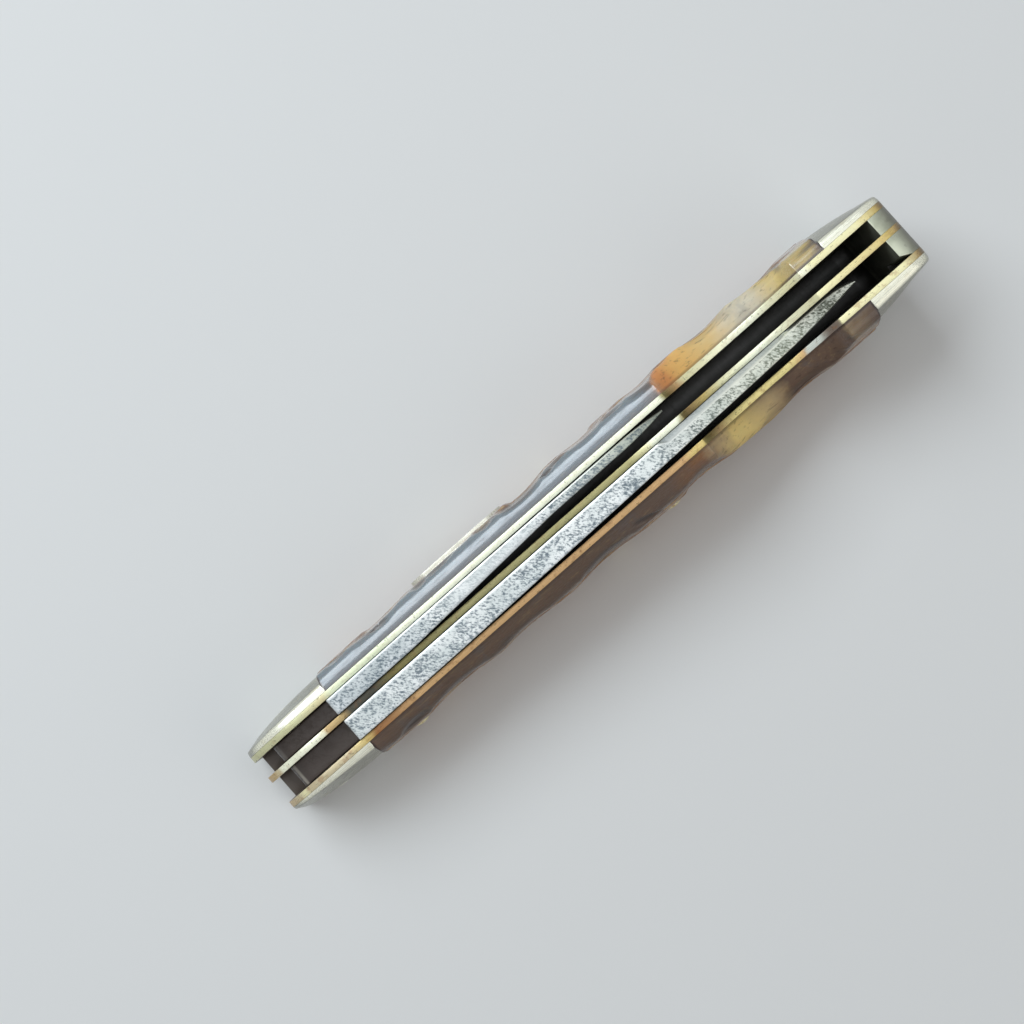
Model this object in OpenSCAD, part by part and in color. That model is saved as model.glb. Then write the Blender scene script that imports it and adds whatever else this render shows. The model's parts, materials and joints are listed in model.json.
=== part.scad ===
// Two-blade jack knife with an easy-open notch, closed and standing on its back.
// X runs from the pivot end to the butt, Y across the handle towards the mark side, Z up out of the wells.
// The origin is at the middle of the handle, on the flat back.

/* [Handle outline] */
// Length of the handle, from the nose to the butt
handle_length = 84.5; // [80:0.5:90]
// Height of the handle at the pivot end
front_height = 10.8; // [10.4:0.1:12]
// Height of the handle at the butt
rear_height = 15.2; // [14:0.1:17]
// Radius of the nose on the well side
nose_radius = 7; // [5:0.5:8]
// Radius of the nose on the back
nose_corner = 1; // [0.6:0.1:1.6]
// Radius of the butt on the well side
butt_top_radius = 3; // [2:0.5:5]
// Radius of the butt on the back
butt_back_radius = 6.5; // [4:0.5:7]

/* [Stack] */
// Thickness of each brass liner
liner_thickness = 0.7; // [0.5:0.05:1]
// Width of the well and the spring of the master blade
master_slot = 2.6; // [2.2:0.1:3.2]
// Width of the well and the spring of the pen blade
pen_slot = 2; // [1.8:0.1:2.6]
// Free play on each side of a tang
side_play = 0.05; // [0.02:0.01:0.1]

/* [Bolsters and scales] */
// Length of the front bolsters
front_bolster_length = 11.4; // [9:0.1:14]
// Length of the rear bolsters
rear_bolster_length = 7.8; // [6:0.1:10]
// Thickness of a front bolster at its thickest, outside the liner
front_bolster_thickness = 1.8; // [1.4:0.05:2.4]
// Thickness of a rear bolster at its thickest, outside the liner
rear_bolster_thickness = 2.35; // [1.8:0.05:2.8]
// Thickness of a scale at its thickest, outside the liner
scale_thickness = 2.6; // [2.2:0.05:3.2]
// Thickness of a scale at the front bolster
scale_front_thickness = 2.05; // [1.8:0.05:2.6]
// Thickness of a scale at the rear bolster
scale_rear_thickness = 2.5; // [2:0.05:3]
// Thickness of the pile side's scale at the rear bolster, where it bulges
pile_rear_thickness = 2.75; // [2:0.05:3]
// Radius of the dome across bolsters and scales
dome_radius = 30; // [24:1:40]
// Radius in plan of the front bolsters
front_plan_radius = 65; // [50:5:90]
// Radius in plan of the rear bolsters
rear_plan_radius = 42; // [36:2:60]
// Distance of the rear bolsters' thickest place from the butt
rear_plan_reach = 10.7; // [9:0.1:12]
// Place of the scales' thickest point along the handle
scale_peak_x = 16; // [0:1:25]

/* [Easy-open notch] */
// Place of the middle of the notch along the handle
notch_x = 21.85; // [17:0.05:24]
// Width of the notch at the well edge
notch_width = 17.65; // [14:0.25:19]
// Depth of the notch
notch_depth = 4.5; // [3.5:0.1:5.5]

/* [Springs] */
// Distance of the springs' free ends behind the nose
spring_setback = 0.5; // [0.3:0.1:1]
// Thickness of a spring under the tang
spring_tip = 2.4; // [2:0.1:2.8]
// Thickness of a spring at the centre pin
spring_middle = 3.5; // [3:0.1:4]
// Length of a spring's thick middle, centred on the centre pin
spring_middle_length = 10; // [8:0.5:14]
// Thickness of a spring in front of its upturned end
spring_rear = 2.9; // [2.5:0.1:3.4]
// Length of the flat under the tang and the kick
spring_flat = 13; // [12:0.5:15]
// Thickness along the handle of a spring's upturned end
butt_wall = 2.9; // [2.7:0.1:4]
// Inside radius where a spring turns up
spring_fillet = 2; // [1:0.5:3]
// Length along the handle of the bevel on the master spring's inner corner
corner_bevel = 1.3; // [0.6:0.1:2]
// Angle in plan of that bevel, in degrees
corner_bevel_angle = 25; // [15:5:35]

/* [Tangs and pivot] */
// Height of the pivot above the back
pivot_height = 5.4; // [5.2:0.1:5.8]
// Distance from the pivot to the blades' shoulders
shoulder_reach = 5.45; // [5:0.05:6]
// Gap between a shoulder and its spring's end when the blade is open
stop_gap = 0.05; // [0.02:0.01:0.1]
// Gap between a tang and its spring
seat_gap = 0.02; // [0.01:0.01:0.05]
// Rise of the closed blades' spines towards the butt, in degrees
closed_rise = 5.5; // [5:0.25:6]
// Radius of the tang's corner on the well side
tang_corner = 2; // [1:0.1:2.4]
// Radius of the tang's corner on the spring side
tang_heel = 1.2; // [0.6:0.1:1.6]
// Distance from the pivot to the end of the kick
kick_reach = 6.9; // [6.5:0.1:7.5]
// Diameter of the pivot pin
pivot_diameter = 2.8; // [2.4:0.1:3.2]
// Radial clearance between the pivot pin and the tangs
pivot_clearance = 0.05; // [0.02:0.01:0.09]

/* [Blades] */
// Clearance between a cutting edge and its spring
edge_gap = 0.5; // [0.3:0.1:1]
// Thickness of a cutting edge
edge_thickness = 0.2; // [0.1:0.05:0.4]
// Height of the step at the end of a kick
kick_step = 0.5; // [0.3:0.1:0.8]
// Distance from the end of the kick to the start of the cutting edge
choil_length = 1.4; // [1:0.1:2]
// Distance from the kick to the start of the grind
plunge_gap = 3; // [1:0.5:4]
// Radius of the disc that cuts a nail nick
nick_radius = 16; // [12:1:20]
// Depth of a nail nick
nick_depth = 0.45; // [0.3:0.05:0.6]
// Height of a nail nick
nick_height = 1; // [0.7:0.1:1.3]
// Distance of a nail nick below the spine
nick_drop = 1.9; // [1.5:0.1:2.5]
// Tilt of a nail nick's lower wall, in degrees
nick_tilt = 20; // [10:5:30]

/* [Master blade] */
// Gap between the tip and the spring's upturned end
master_tip_gap = 3.5; // [2:0.1:6]
// Drop of the tip below the spine
master_tip_drop = 7.2; // [6.4:0.1:7.8]
// Length of the clip
clip_length = 25.5; // [20:0.5:28]
// Sag of the clip's curve
clip_sag = 0.9; // [0.5:0.1:1.3]
// Length of the belly, where the edge curves up to the tip
master_belly = 20; // [17:0.5:22]
// Length of the grind that turns up towards the tip
master_sweep = 14; // [11:0.5:16]
// Height of the grind
master_grind = 8.2; // [7:0.1:9]
// Length of the taper on the pile face
master_taper_length = 57; // [50:1:60]
// Thickness that the pile face's straight taper takes off
master_taper = 0.85; // [0.5:0.05:0.9]
// Length of the rounded end of the pile face's taper
master_point_length = 13; // [10:0.5:16]
// Length of the rounded taper on the mark face
master_mark_taper = 6; // [5:0.5:10]
// Distance of the point from the mark face
master_point_inset = 0.85; // [0.6:0.05:1]
// Height of the swedge below the clip
swedge_height = 1.2; // [0.8:0.1:2]
// Depth of the swedge at its start
swedge_depth = 0.5; // [0.3:0.05:0.7]
// Length along the clip in which the swedge runs out
swedge_length = 17; // [13:1:22]
// Distance of the nail nick from the pivot
master_nick_reach = 34; // [30:1:40]

/* [Pen blade] */
// Length from shoulder to tip
pen_length = 44; // [38:0.5:46]
// Width of the blade
pen_width = 7.6; // [6.5:0.1:8]
// Height of the tip above the edge
pen_tip_rise = 4.4; // [3.5:0.1:5]
// Length of the belly, where the edge curves up to the tip
pen_belly = 12; // [10:0.5:14]
// Length of the spine's fall to the tip
pen_fall = 14; // [12:0.5:16]
// Length of the grind that turns up towards the tip
pen_sweep = 9; // [7:0.5:10]
// Height of the grind
pen_grind = 6.6; // [5.5:0.1:7]
// Length of the taper on the pile face
pen_taper_length = 35; // [31:1:38]
// Thickness that the pile face's taper takes off
pen_taper = 1.2; // [0.9:0.05:1.25]
// Length of the rounded taper on the mark face
pen_mark_taper = 6; // [5:0.5:9]
// Distance of the nail nick from the pivot
pen_nick_reach = 32; // [28:1:36]

/* [Pins] */
// Diameter of the centre pin and the butt pin
spring_pin_diameter = 1.6; // [1.4:0.1:1.8]
// Place of the centre pin along the handle
center_pin_x = 0.5; // [-4:0.5:4]
// Height of the centre pin above the back
center_pin_height = 1.75; // [1.6:0.05:1.9]
// Distance of the butt pin in front of the butt
butt_pin_inset = 1.45; // [1.35:0.05:1.55]
// Height of the butt pin above the back
butt_pin_height = 8; // [7:0.25:10]
// Diameter of the scale pins
scale_pin_diameter = 1.7; // [1.2:0.1:2]
// Radius of the scale pins' domed heads
pin_head_radius = 1.6; // [1.1:0.05:2]
// Height that the pile side's domed pin heads stand above the scale
pin_head_rise = 0.25; // [0.1:0.05:0.4]
// Distance of the front scale pins from the front bolsters
scale_pin_inset = 4.75; // [3:0.25:6]
// Place of the rear scale pins along the handle
rear_scale_pin_x = 7.85; // [5:0.05:9.5]

/* [Shield] */
// Length of the shield
shield_length = 12.1; // [10:0.1:14]
// Height of the shield
shield_height = 4.4; // [3.6:0.1:5]
// Thickness of the shield
shield_thickness = 0.8; // [0.5:0.05:1.2]
// Height of the shield's face above the scale
shield_rise = 0.22; // [0.1:0.02:0.6]
// Place of the shield's middle along the handle
shield_x = -11.7; // [-15:0.05:-8]
// Diameter of the shield pins
shield_pin_diameter = 0.8; // [0.6:0.1:1]
// Distance between the shield pins
shield_pin_spacing = 7.2; // [6:0.2:8]
// Depth to which the shield pins go into the scale
shield_pin_depth = 1; // [0.6:0.1:1.4]

/* [Hidden] */

brass = [0.78, 0.66, 0.38];
nickel = [0.72, 0.71, 0.64];
bone = [0.72, 0.47, 0.22];
steel = [0.62, 0.65, 0.68];
spring_steel = [0.55, 0.57, 0.54];

// Facets of a small circle, steps of a rounded corner and of a long curve
fine = 96;
corner_steps = 8;
round_steps = 18;
curve_steps = 14;
well_steps = 24;
// How far a cutting shape runs past what it cuts
beyond = 5;
reach = 2 * handle_length;

x_nose = -handle_length / 2;
x_butt = handle_length / 2;
x_front_joint = x_nose + front_bolster_length;
x_rear_joint = x_butt - rear_bolster_length;
x_nose_top = x_nose + nose_radius;
x_butt_top = x_butt - butt_top_radius;
x_well_end = x_butt - butt_wall;

stack_half = (3 * liner_thickness + master_slot + pen_slot) / 2;
y_mark_liner = stack_half - liner_thickness;
y_center_liner = y_mark_liner - pen_slot - liner_thickness;
y_pile_liner = -stack_half;
y_pen_well = y_mark_liner - pen_slot;
y_master_well = y_pile_liner + liner_thickness;

y_front = stack_half + front_bolster_thickness;
y_rear = stack_half + rear_bolster_thickness;
y_scale = stack_half + scale_thickness;
y_scale_front = stack_half + scale_front_thickness;
y_scale_rear = stack_half + scale_rear_thickness;
y_pile_rear = stack_half + pile_rear_thickness;

x_spring_end = x_nose + spring_setback;
x_spring_flat_end = x_spring_end + spring_flat;
x_spring_arch = center_pin_x - spring_middle_length / 2;
pivot_x = x_spring_end - stop_gap + shoulder_reach;
pivot = [pivot_x, pivot_height];
tang_half = pivot_height - spring_tip - seat_gap;
edge_rise = atan2(spring_middle - spring_tip, x_spring_arch - x_spring_flat_end);

mid_front = front_height / 2;
mid_rear = rear_height / 2;
mid_slope = (mid_rear - mid_front) / (x_butt_top - x_nose_top);

// Points of an arc from angle a to angle b
function arc(center, radius, a, b, steps) =
    [for (i = [0:steps]) center + radius * [cos(a + (b - a) * i / steps), sin(a + (b - a) * i / steps)]];

// Points of a curve from p to r that is drawn towards q, without its first point
function bend(p, q, r, steps) =
    [for (i = [1:steps]) let (t = i / steps) (1 - t) * (1 - t) * p + 2 * t * (1 - t) * q + t * t * r];

// Height of the well edge above the back: it swells from the pivot end to the butt
function well_edge(x) =
    let (t = min(1, max(0, (x - x_nose_top) / (x_butt_top - x_nose_top))))
    front_height + (rear_height - front_height) * t * t * (3 - 2 * t);

// Height of the middle of the handle's side
function mid_height(x) = mid_front + mid_slope * (x - x_nose_top);

// Face of a scale at its middle, at x
function scale_face(x) = x < scale_peak_x
    ? lookup(x, [[x_front_joint, y_scale_front], [scale_peak_x, y_scale]])
    : lookup(x, [[scale_peak_x, y_scale], [x_rear_joint, y_scale_rear]]);

// A point given along and above a blade's spine direction from the pivot, in the handle's frame
function on_blade(p) = pivot + [
    p[0] * cos(closed_rise) - p[1] * sin(closed_rise),
    p[0] * sin(closed_rise) + p[1] * cos(closed_rise)
];

// Direction from p to q in side view, in degrees
function direction(p, q) = atan2(q[1] - p[1], q[0] - p[0]);

// Height of the master blade's edge line at x
function master_edge(x) = spring_tip + edge_gap + (x - x_spring_flat_end) * tan(edge_rise);

handle_points = concat(
    arc([x_nose + nose_corner, nose_corner], nose_corner, 270, 180, corner_steps),
    arc([x_nose_top, front_height - nose_radius], nose_radius, 180, 90, round_steps),
    [
        for (i = [1:well_steps - 1])
            let (x = x_nose_top + (x_butt_top - x_nose_top) * i / well_steps)
            [x, well_edge(x)]
    ],
    arc([x_butt_top, rear_height - butt_top_radius], butt_top_radius, 90, 0, round_steps),
    arc([x_butt - butt_back_radius, butt_back_radius], butt_back_radius, 0, -90, round_steps)
);

spring_points = concat(
    [
        [x_spring_end, -beyond],
        [x_spring_end, spring_tip],
        [x_spring_flat_end, spring_tip],
        [x_spring_arch, spring_middle],
        [center_pin_x + spring_middle_length / 2, spring_middle]
    ],
    arc([x_well_end - spring_fillet, spring_rear + spring_fillet], spring_fillet, 270, 360, corner_steps),
    [
        [x_well_end, rear_height + beyond],
        [x_butt + beyond, rear_height + beyond],
        [x_butt + beyond, -beyond]
    ]
);

// The tang, from the shoulder round its end to the kick
heel_center = pivot - (tang_half - tang_heel) * [(1 - sin(closed_rise)) / cos(closed_rise), 1];
tang_points = concat(
    [on_blade([shoulder_reach, pivot_height]), on_blade([shoulder_reach, tang_half])],
    [
        for (p = arc([-1, 1] * (tang_half - tang_corner), tang_corner, 90, 180, corner_steps))
            on_blade(p)
    ],
    arc(heel_center, tang_heel, 180 + closed_rise, 270, corner_steps),
    [pivot + [kick_reach, -tang_half], pivot + [kick_reach + kick_step / 2, kick_step - tang_half]]
);

master_tip_z = pivot_height - master_tip_drop;
master_tip_x = x_well_end - master_tip_gap;
master_length = (master_tip_x - pivot_x + master_tip_z * sin(closed_rise)) / cos(closed_rise);
master_tip = on_blade([master_length, master_tip_z]);
clip_start = on_blade([master_length - clip_length, pivot_height]);
clip_pull = on_blade([master_length - clip_length / 2, pivot_height - master_tip_drop / 2 - clip_sag]);
x_master_edge = pivot_x + kick_reach + choil_length;
x_belly = master_tip_x - master_belly;
x_belly_pull = x_belly + 2 * master_belly / 3;
master_points = concat(
    tang_points,
    [[x_master_edge, master_edge(x_master_edge)], [x_belly, master_edge(x_belly)]],
    bend([x_belly, master_edge(x_belly)], [x_belly_pull, master_edge(x_belly_pull)],
        master_tip, curve_steps),
    bend(master_tip, clip_pull, clip_start, curve_steps)
);

pen_edge_z = pivot_height - pen_width;
pen_reach = shoulder_reach + pen_length;
pen_tip = on_blade([pen_reach, pen_edge_z + pen_tip_rise]);
pen_belly_start = on_blade([pen_reach - pen_belly, pen_edge_z]);
pen_belly_pull = on_blade([pen_reach - pen_belly / 5, pen_edge_z]);
pen_fall_pull = on_blade([pen_reach - pen_fall / 3, pivot_height]);
pen_fall_start = on_blade([pen_reach - pen_fall, pivot_height]);
pen_points = concat(
    tang_points,
    [on_blade([kick_reach + choil_length, pen_edge_z]), pen_belly_start],
    bend(pen_belly_start, pen_belly_pull, pen_tip, curve_steps),
    bend(pen_tip, pen_fall_pull, pen_fall_start, curve_steps)
);

center_pin = [center_pin_x, center_pin_height];
butt_pin_place = [x_butt - butt_pin_inset, butt_pin_height];
front_scale_pin_x = x_front_joint + scale_pin_inset;
scale_pin_places = [for (x = [front_scale_pin_x, rear_scale_pin_x]) [x, mid_height(x)]];

// A side-view shape made into a plate between y0 and y1
module plate(y0, y1) {
    translate([0, y1, 0])
        rotate([90, 0, 0])
            linear_extrude(y1 - y0)
                children();
}

// A round bar along Y at a place in side view
module bar(place, diameter, y0, y1) {
    translate([place[0], y1, place[1]])
        rotate([90, 0, 0])
            cylinder(d = diameter, h = y1 - y0, $fn = fine);
}

module handle_plate(y0, y1) {
    plate(y0, y1) polygon(handle_points);
}

// All that lies under a bolster's dome, curved both ways, whose face reaches y_max at x_max
module bolster_dome(y_max, x_max, plan_radius) {
    translate([x_max, y_max - plan_radius, mid_height(x_max)])
        rotate([0, -atan(mid_slope), 0])
            rotate_extrude($fn = 8 * fine)
                intersection() {
                    translate([plan_radius - dome_radius, 0])
                        circle(r = dome_radius, $fn = 4 * fine);
                    translate([plan_radius / 2, -reach])
                        square([plan_radius, 2 * reach]);
                }
}

// All that lies under a straight dome whose face runs through y0 at x0 and y1 at x1
module straight_dome(x0, y0, x1, y1) {
    translate([x0, y0 - dome_radius, mid_height(x0)])
        rotate([0, 0, atan2(y1 - y0, x1 - x0)])
            rotate([0, 90 - atan(mid_slope), 0])
                cylinder(r = dome_radius, h = 2 * reach, center = true, $fn = 4 * fine);
}

module front_dome() {
    bolster_dome(y_front, x_front_joint, front_plan_radius);
}

module rear_dome() {
    bolster_dome(y_rear, x_butt - rear_plan_reach, rear_plan_radius);
}

// All that lies under a scale's dome, whose face reaches y_end at the rear bolster
module scale_dome(y_end) {
    intersection() {
        straight_dome(x_front_joint, y_scale_front, scale_peak_x, y_scale);
        straight_dome(scale_peak_x, y_scale, x_rear_joint, y_end);
    }
}

module side_length(x0, x1) {
    translate([x0, -beyond - y_scale, -beyond])
        cube([x1 - x0, 2 * (beyond + y_scale), rear_height + 2 * beyond]);
}

// The notch through the whole stack, where thumb and finger pinch the master blade
module easy_open_notch() {
    radius = (notch_width * notch_width / 4 + notch_depth * notch_depth) / (2 * notch_depth);
    translate([notch_x, 0, well_edge(notch_x) - notch_depth + radius])
        rotate([90, 0, 0])
            cylinder(r = radius, h = 2 * (y_scale + beyond), center = true, $fn = 2 * fine);
}

module through_pin_holes() {
    y = y_scale + beyond;
    bar(pivot, pivot_diameter, -y, y);
    bar(center_pin, spring_pin_diameter, -y, y);
    bar(butt_pin_place, spring_pin_diameter, -y, y);
}

module scale_pin_holes() {
    for (place = scale_pin_places)
        bar(place, scale_pin_diameter, -y_scale - beyond, y_scale + beyond);
}

module liner(y0, has_scale) {
    color(brass)
        difference() {
            handle_plate(y0, y0 + liner_thickness);
            easy_open_notch();
            through_pin_holes();
            if (has_scale)
                scale_pin_holes();
        }
}

module liner_mark() {
    liner(y_mark_liner, true);
}

module liner_center() {
    liner(y_center_liner, false);
}

module liner_pile() {
    liner(y_pile_liner, true);
}

module front_bolster() {
    color(nickel)
        difference() {
            intersection() {
                handle_plate(stack_half, y_front + beyond);
                front_dome();
                side_length(x_nose - beyond, x_front_joint);
            }
            through_pin_holes();
        }
}

module rear_bolster() {
    color(nickel)
        difference() {
            intersection() {
                handle_plate(stack_half, y_rear + beyond);
                rear_dome();
                side_length(x_rear_joint, x_butt + beyond);
            }
            through_pin_holes();
        }
}

module bolster_front_mark() {
    front_bolster();
}

module bolster_front_pile() {
    mirror([0, 1, 0]) front_bolster();
}

module bolster_rear_mark() {
    rear_bolster();
}

module bolster_rear_pile() {
    mirror([0, 1, 0]) rear_bolster();
}

module scale_blank(y_end) {
    difference() {
        intersection() {
            handle_plate(stack_half, y_scale + beyond);
            scale_dome(y_end);
            side_length(x_front_joint, x_rear_joint);
        }
        easy_open_notch();
        through_pin_holes();
        scale_pin_holes();
    }
}

module scale_mark() {
    color(bone)
        difference() {
            scale_blank(y_scale_rear);
            shield_shape(y_shield_back, y_scale + beyond);
            shield_pin_bars(y_shield_pin, y_scale);
        }
}

module scale_pile() {
    color(bone)
        mirror([0, 1, 0]) scale_blank(y_pile_rear);
}

shield_mid = mid_height(shield_x);
y_shield_face = scale_face(shield_x) + shield_rise;
y_shield_back = y_shield_face - shield_thickness;
y_shield_pin = y_shield_back - shield_pin_depth;

// The shield's outline, a bar with round ends, between y0 and y1
module shield_shape(y0, y1) {
    end_offset = (shield_length - shield_height) / 2;
    translate([shield_x - end_offset, y0, shield_mid - shield_height / 2])
        cube([2 * end_offset, y1 - y0, shield_height]);
    for (side = [-1, 1])
        bar([shield_x + side * end_offset, shield_mid], shield_height, y0, y1);
}

module shield_pin_bars(y0, y1) {
    for (side = [-1, 1])
        bar([shield_x + side * shield_pin_spacing / 2, shield_mid], shield_pin_diameter, y0, y1);
}

module shield() {
    color(nickel)
        difference() {
            shield_shape(y_shield_back, y_shield_face);
            shield_pin_bars(y_shield_back - beyond, y_shield_face + beyond);
        }
}

module shield_pins() {
    color(brass)
        shield_pin_bars(y_shield_pin, y_shield_face);
}

// A pin through both sides, spun flush with the dome given as its child
module spun_pin(place, diameter) {
    intersection() {
        bar(place, diameter, -y_scale - beyond, y_scale + beyond);
        children();
        mirror([0, 1, 0]) children();
    }
}

module pivot_pin() {
    color(nickel)
        spun_pin(pivot, pivot_diameter) front_dome();
}

module butt_pin() {
    color(nickel)
        spun_pin(butt_pin_place, spring_pin_diameter) rear_dome();
}

module spring_center_pin() {
    color(brass)
        spun_pin(center_pin, spring_pin_diameter) scale_dome(y_scale_rear);
}

// A pin from inside a liner to a domed head whose top is at y_top
module scale_pin(place, y_top) {
    y_head = y_top - pin_head_radius;
    intersection() {
        bar(place, scale_pin_diameter, y_mark_liner, y_top);
        union() {
            bar(place, 2 * pin_head_radius, y_mark_liner, y_head);
            translate([place[0], y_head, place[1]])
                sphere(r = pin_head_radius, $fn = fine);
        }
    }
}

module scale_pins_mark() {
    color(brass)
        for (place = scale_pin_places)
            scale_pin(place, scale_face(place[0]));
}

module scale_pins_pile() {
    color(brass)
        mirror([0, 1, 0])
            for (place = scale_pin_places)
                scale_pin(place, scale_face(place[0]) + pin_head_rise);
}

module spring(y0, y1) {
    difference() {
        intersection() {
            handle_plate(y0, y1);
            plate(y0 - beyond, y1 + beyond) polygon(spring_points);
        }
        bar(center_pin, spring_pin_diameter, y0 - beyond, y1 + beyond);
        bar(butt_pin_place, spring_pin_diameter, y0 - beyond, y1 + beyond);
    }
}

// The inner corner of its upturned end is bevelled above the butt pin
module spring_master() {
    bevel_width = corner_bevel * tan(corner_bevel_angle);
    color(spring_steel)
        difference() {
            spring(y_master_well, y_master_well + master_slot);
            translate([x_well_end, y_master_well, butt_pin_height + spring_pin_diameter])
                linear_extrude(rear_height)
                    polygon([
                        [-corner_bevel, 2 * bevel_width],
                        [2 * corner_bevel, -bevel_width],
                        [-corner_bevel, -bevel_width]
                    ]);
        }
}

module spring_pen() {
    color(spring_steel)
        spring(y_pen_well, y_mark_liner);
}

// Takes off what lies beyond a flat face that runs from y0 at x0 to y1 at x1 and on.
// side is 1 for the mark face and -1 for the pile face.
module flat_taper(x0, y0, x1, y1, side) {
    translate([x0, y0, -beyond])
        rotate([0, 0, atan2(y1 - y0, x1 - x0)])
            translate([0, side > 0 ? 0 : -beyond, 0])
                cube([reach, beyond, rear_height + 3 * beyond]);
}

// Takes off what lies beyond a round face that leaves y0 at x0, turned in by slope, and meets y1 at x1
module round_taper(x0, y0, slope, x1, y1, side) {
    fall = side * (y0 - y1) - slope * (x1 - x0);
    radius = pow(x1 - x0, 2) / (2 * fall);
    difference() {
        translate([x0, y0 - beyond / 2, -beyond])
            cube([beyond + x1 - x0, beyond, rear_height + 3 * beyond]);
        translate([x0 - slope * radius, y0 - side * radius * (1 - slope * slope / 2), -2 * beyond])
            cylinder(r = radius, h = rear_height + 5 * beyond, $fn = 8 * fine);
    }
}

// Flat grind on both faces. The edge line starts at place and rises by rise, and the blade's middle
// plane runs from y_start there to y_point at x_point.
module grind(place, rise, y_start, x_point, y_point, half, height) {
    translate([place[0], y_start, place[1]])
        rotate([0, 0, atan2(y_point - y_start, x_point - place[0])])
            rotate([0, -rise, 0])
                for (side = [0, 1])
                    mirror([0, side, 0])
                        rotate([90, 0, 90])
                            linear_extrude(reach)
                                polygon([
                                    [edge_thickness / 2, 0],
                                    [half, height],
                                    [half + beyond, height],
                                    [half + beyond, -beyond],
                                    [edge_thickness / 2, -beyond]
                                ]);
}

// A crescent nail nick cut into a mark face
module nail_nick(blade_reach, y_face) {
    place = on_blade([blade_reach, pivot_height - nick_drop]);
    translate([place[0], y_face + nick_radius - nick_depth, place[1]])
        rotate([nick_tilt, -closed_rise, 0])
            cylinder(r = nick_radius, h = nick_height, center = true, $fn = 2 * fine);
}

// The bevel along the clip, on the mark face
module swedge() {
    clip_fall = -direction(clip_start, master_tip);
    translate([clip_start[0], y_master_well + master_slot - side_play, clip_start[1]])
        rotate([0, clip_fall, atan(swedge_depth / swedge_length)])
            rotate([90, 0, 90])
                linear_extrude(reach)
                    polygon([
                        [0, -swedge_height],
                        [-2 * swedge_depth, swedge_height],
                        [beyond, swedge_height],
                        [beyond, -swedge_height]
                    ]);
}

module blade_master() {
    y0 = y_master_well + side_play;
    y1 = y_master_well + master_slot - side_play;
    half = (y1 - y0) / 2;
    y_point = y1 - master_point_inset;
    x_edge = pivot_x + kick_reach + plunge_gap;
    x_sweep = master_tip_x - master_sweep;
    x_taper = master_tip_x - master_taper_length;
    x_round = master_tip_x - master_point_length;
    edge_start = [x_edge, master_edge(x_edge)];
    sweep_start = [x_sweep, master_edge(x_sweep)];
    y_sweep = lookup(x_sweep, [[x_edge, y0 + half], [master_tip_x, y_point]]);
    color(steel)
        difference() {
            plate(y0, y1) polygon(master_points);
            bar(pivot, pivot_diameter + 2 * pivot_clearance, y0 - beyond, y1 + beyond);
            grind(edge_start, edge_rise, y0 + half, master_tip_x, y_point, half, master_grind);
            grind(sweep_start, direction(sweep_start, master_tip), y_sweep, master_tip_x, y_point,
                half, master_grind);
            flat_taper(x_taper, y0, x_round, y0 + master_taper, -1);
            round_taper(x_round, y0 + master_taper, master_taper / (x_round - x_taper),
                master_tip_x, y_point - edge_thickness / 2, -1);
            round_taper(master_tip_x - master_mark_taper, y1, 0,
                master_tip_x, y_point + edge_thickness / 2, 1);
            swedge();
            nail_nick(master_nick_reach, y1);
        }
}

module blade_pen() {
    y0 = y_pen_well + side_play;
    y1 = y_mark_liner - side_play;
    half = (y1 - y0) / 2;
    y_point = y0 + pen_taper + edge_thickness;
    edge_start = on_blade([kick_reach + plunge_gap, pen_edge_z]);
    sweep_start = on_blade([pen_reach - pen_sweep, pen_edge_z]);
    y_sweep = lookup(sweep_start[0], [[edge_start[0], y0 + half], [pen_tip[0], y_point]]);
    color(steel)
        difference() {
            plate(y0, y1) polygon(pen_points);
            bar(pivot, pivot_diameter + 2 * pivot_clearance, y0 - beyond, y1 + beyond);
            grind(edge_start, closed_rise, y0 + half, pen_tip[0], y_point, half, pen_grind);
            grind(sweep_start, direction(sweep_start, pen_tip), y_sweep, pen_tip[0], y_point,
                half, pen_grind);
            flat_taper(pen_tip[0] - pen_taper_length, y0, pen_tip[0], y0 + pen_taper, -1);
            round_taper(pen_tip[0] - pen_mark_taper, y1, 0, pen_tip[0], y_point + edge_thickness, 1);
            nail_nick(pen_nick_reach, y1);
        }
}

liner_mark();
liner_center();
liner_pile();
bolster_front_mark();
bolster_front_pile();
bolster_rear_mark();
bolster_rear_pile();
scale_mark();
scale_pile();
blade_master();
blade_pen();
spring_master();
spring_pen();
pivot_pin();
spring_center_pin();
butt_pin();
scale_pins_mark();
scale_pins_pile();
shield();
shield_pins();
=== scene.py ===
"""A closed two-blade jack knife with an easy-open notch, standing on its back with its wells upwards."""

import json
import math
import random

import bpy
import numpy as np
from mathutils import Matrix, Vector


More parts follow.
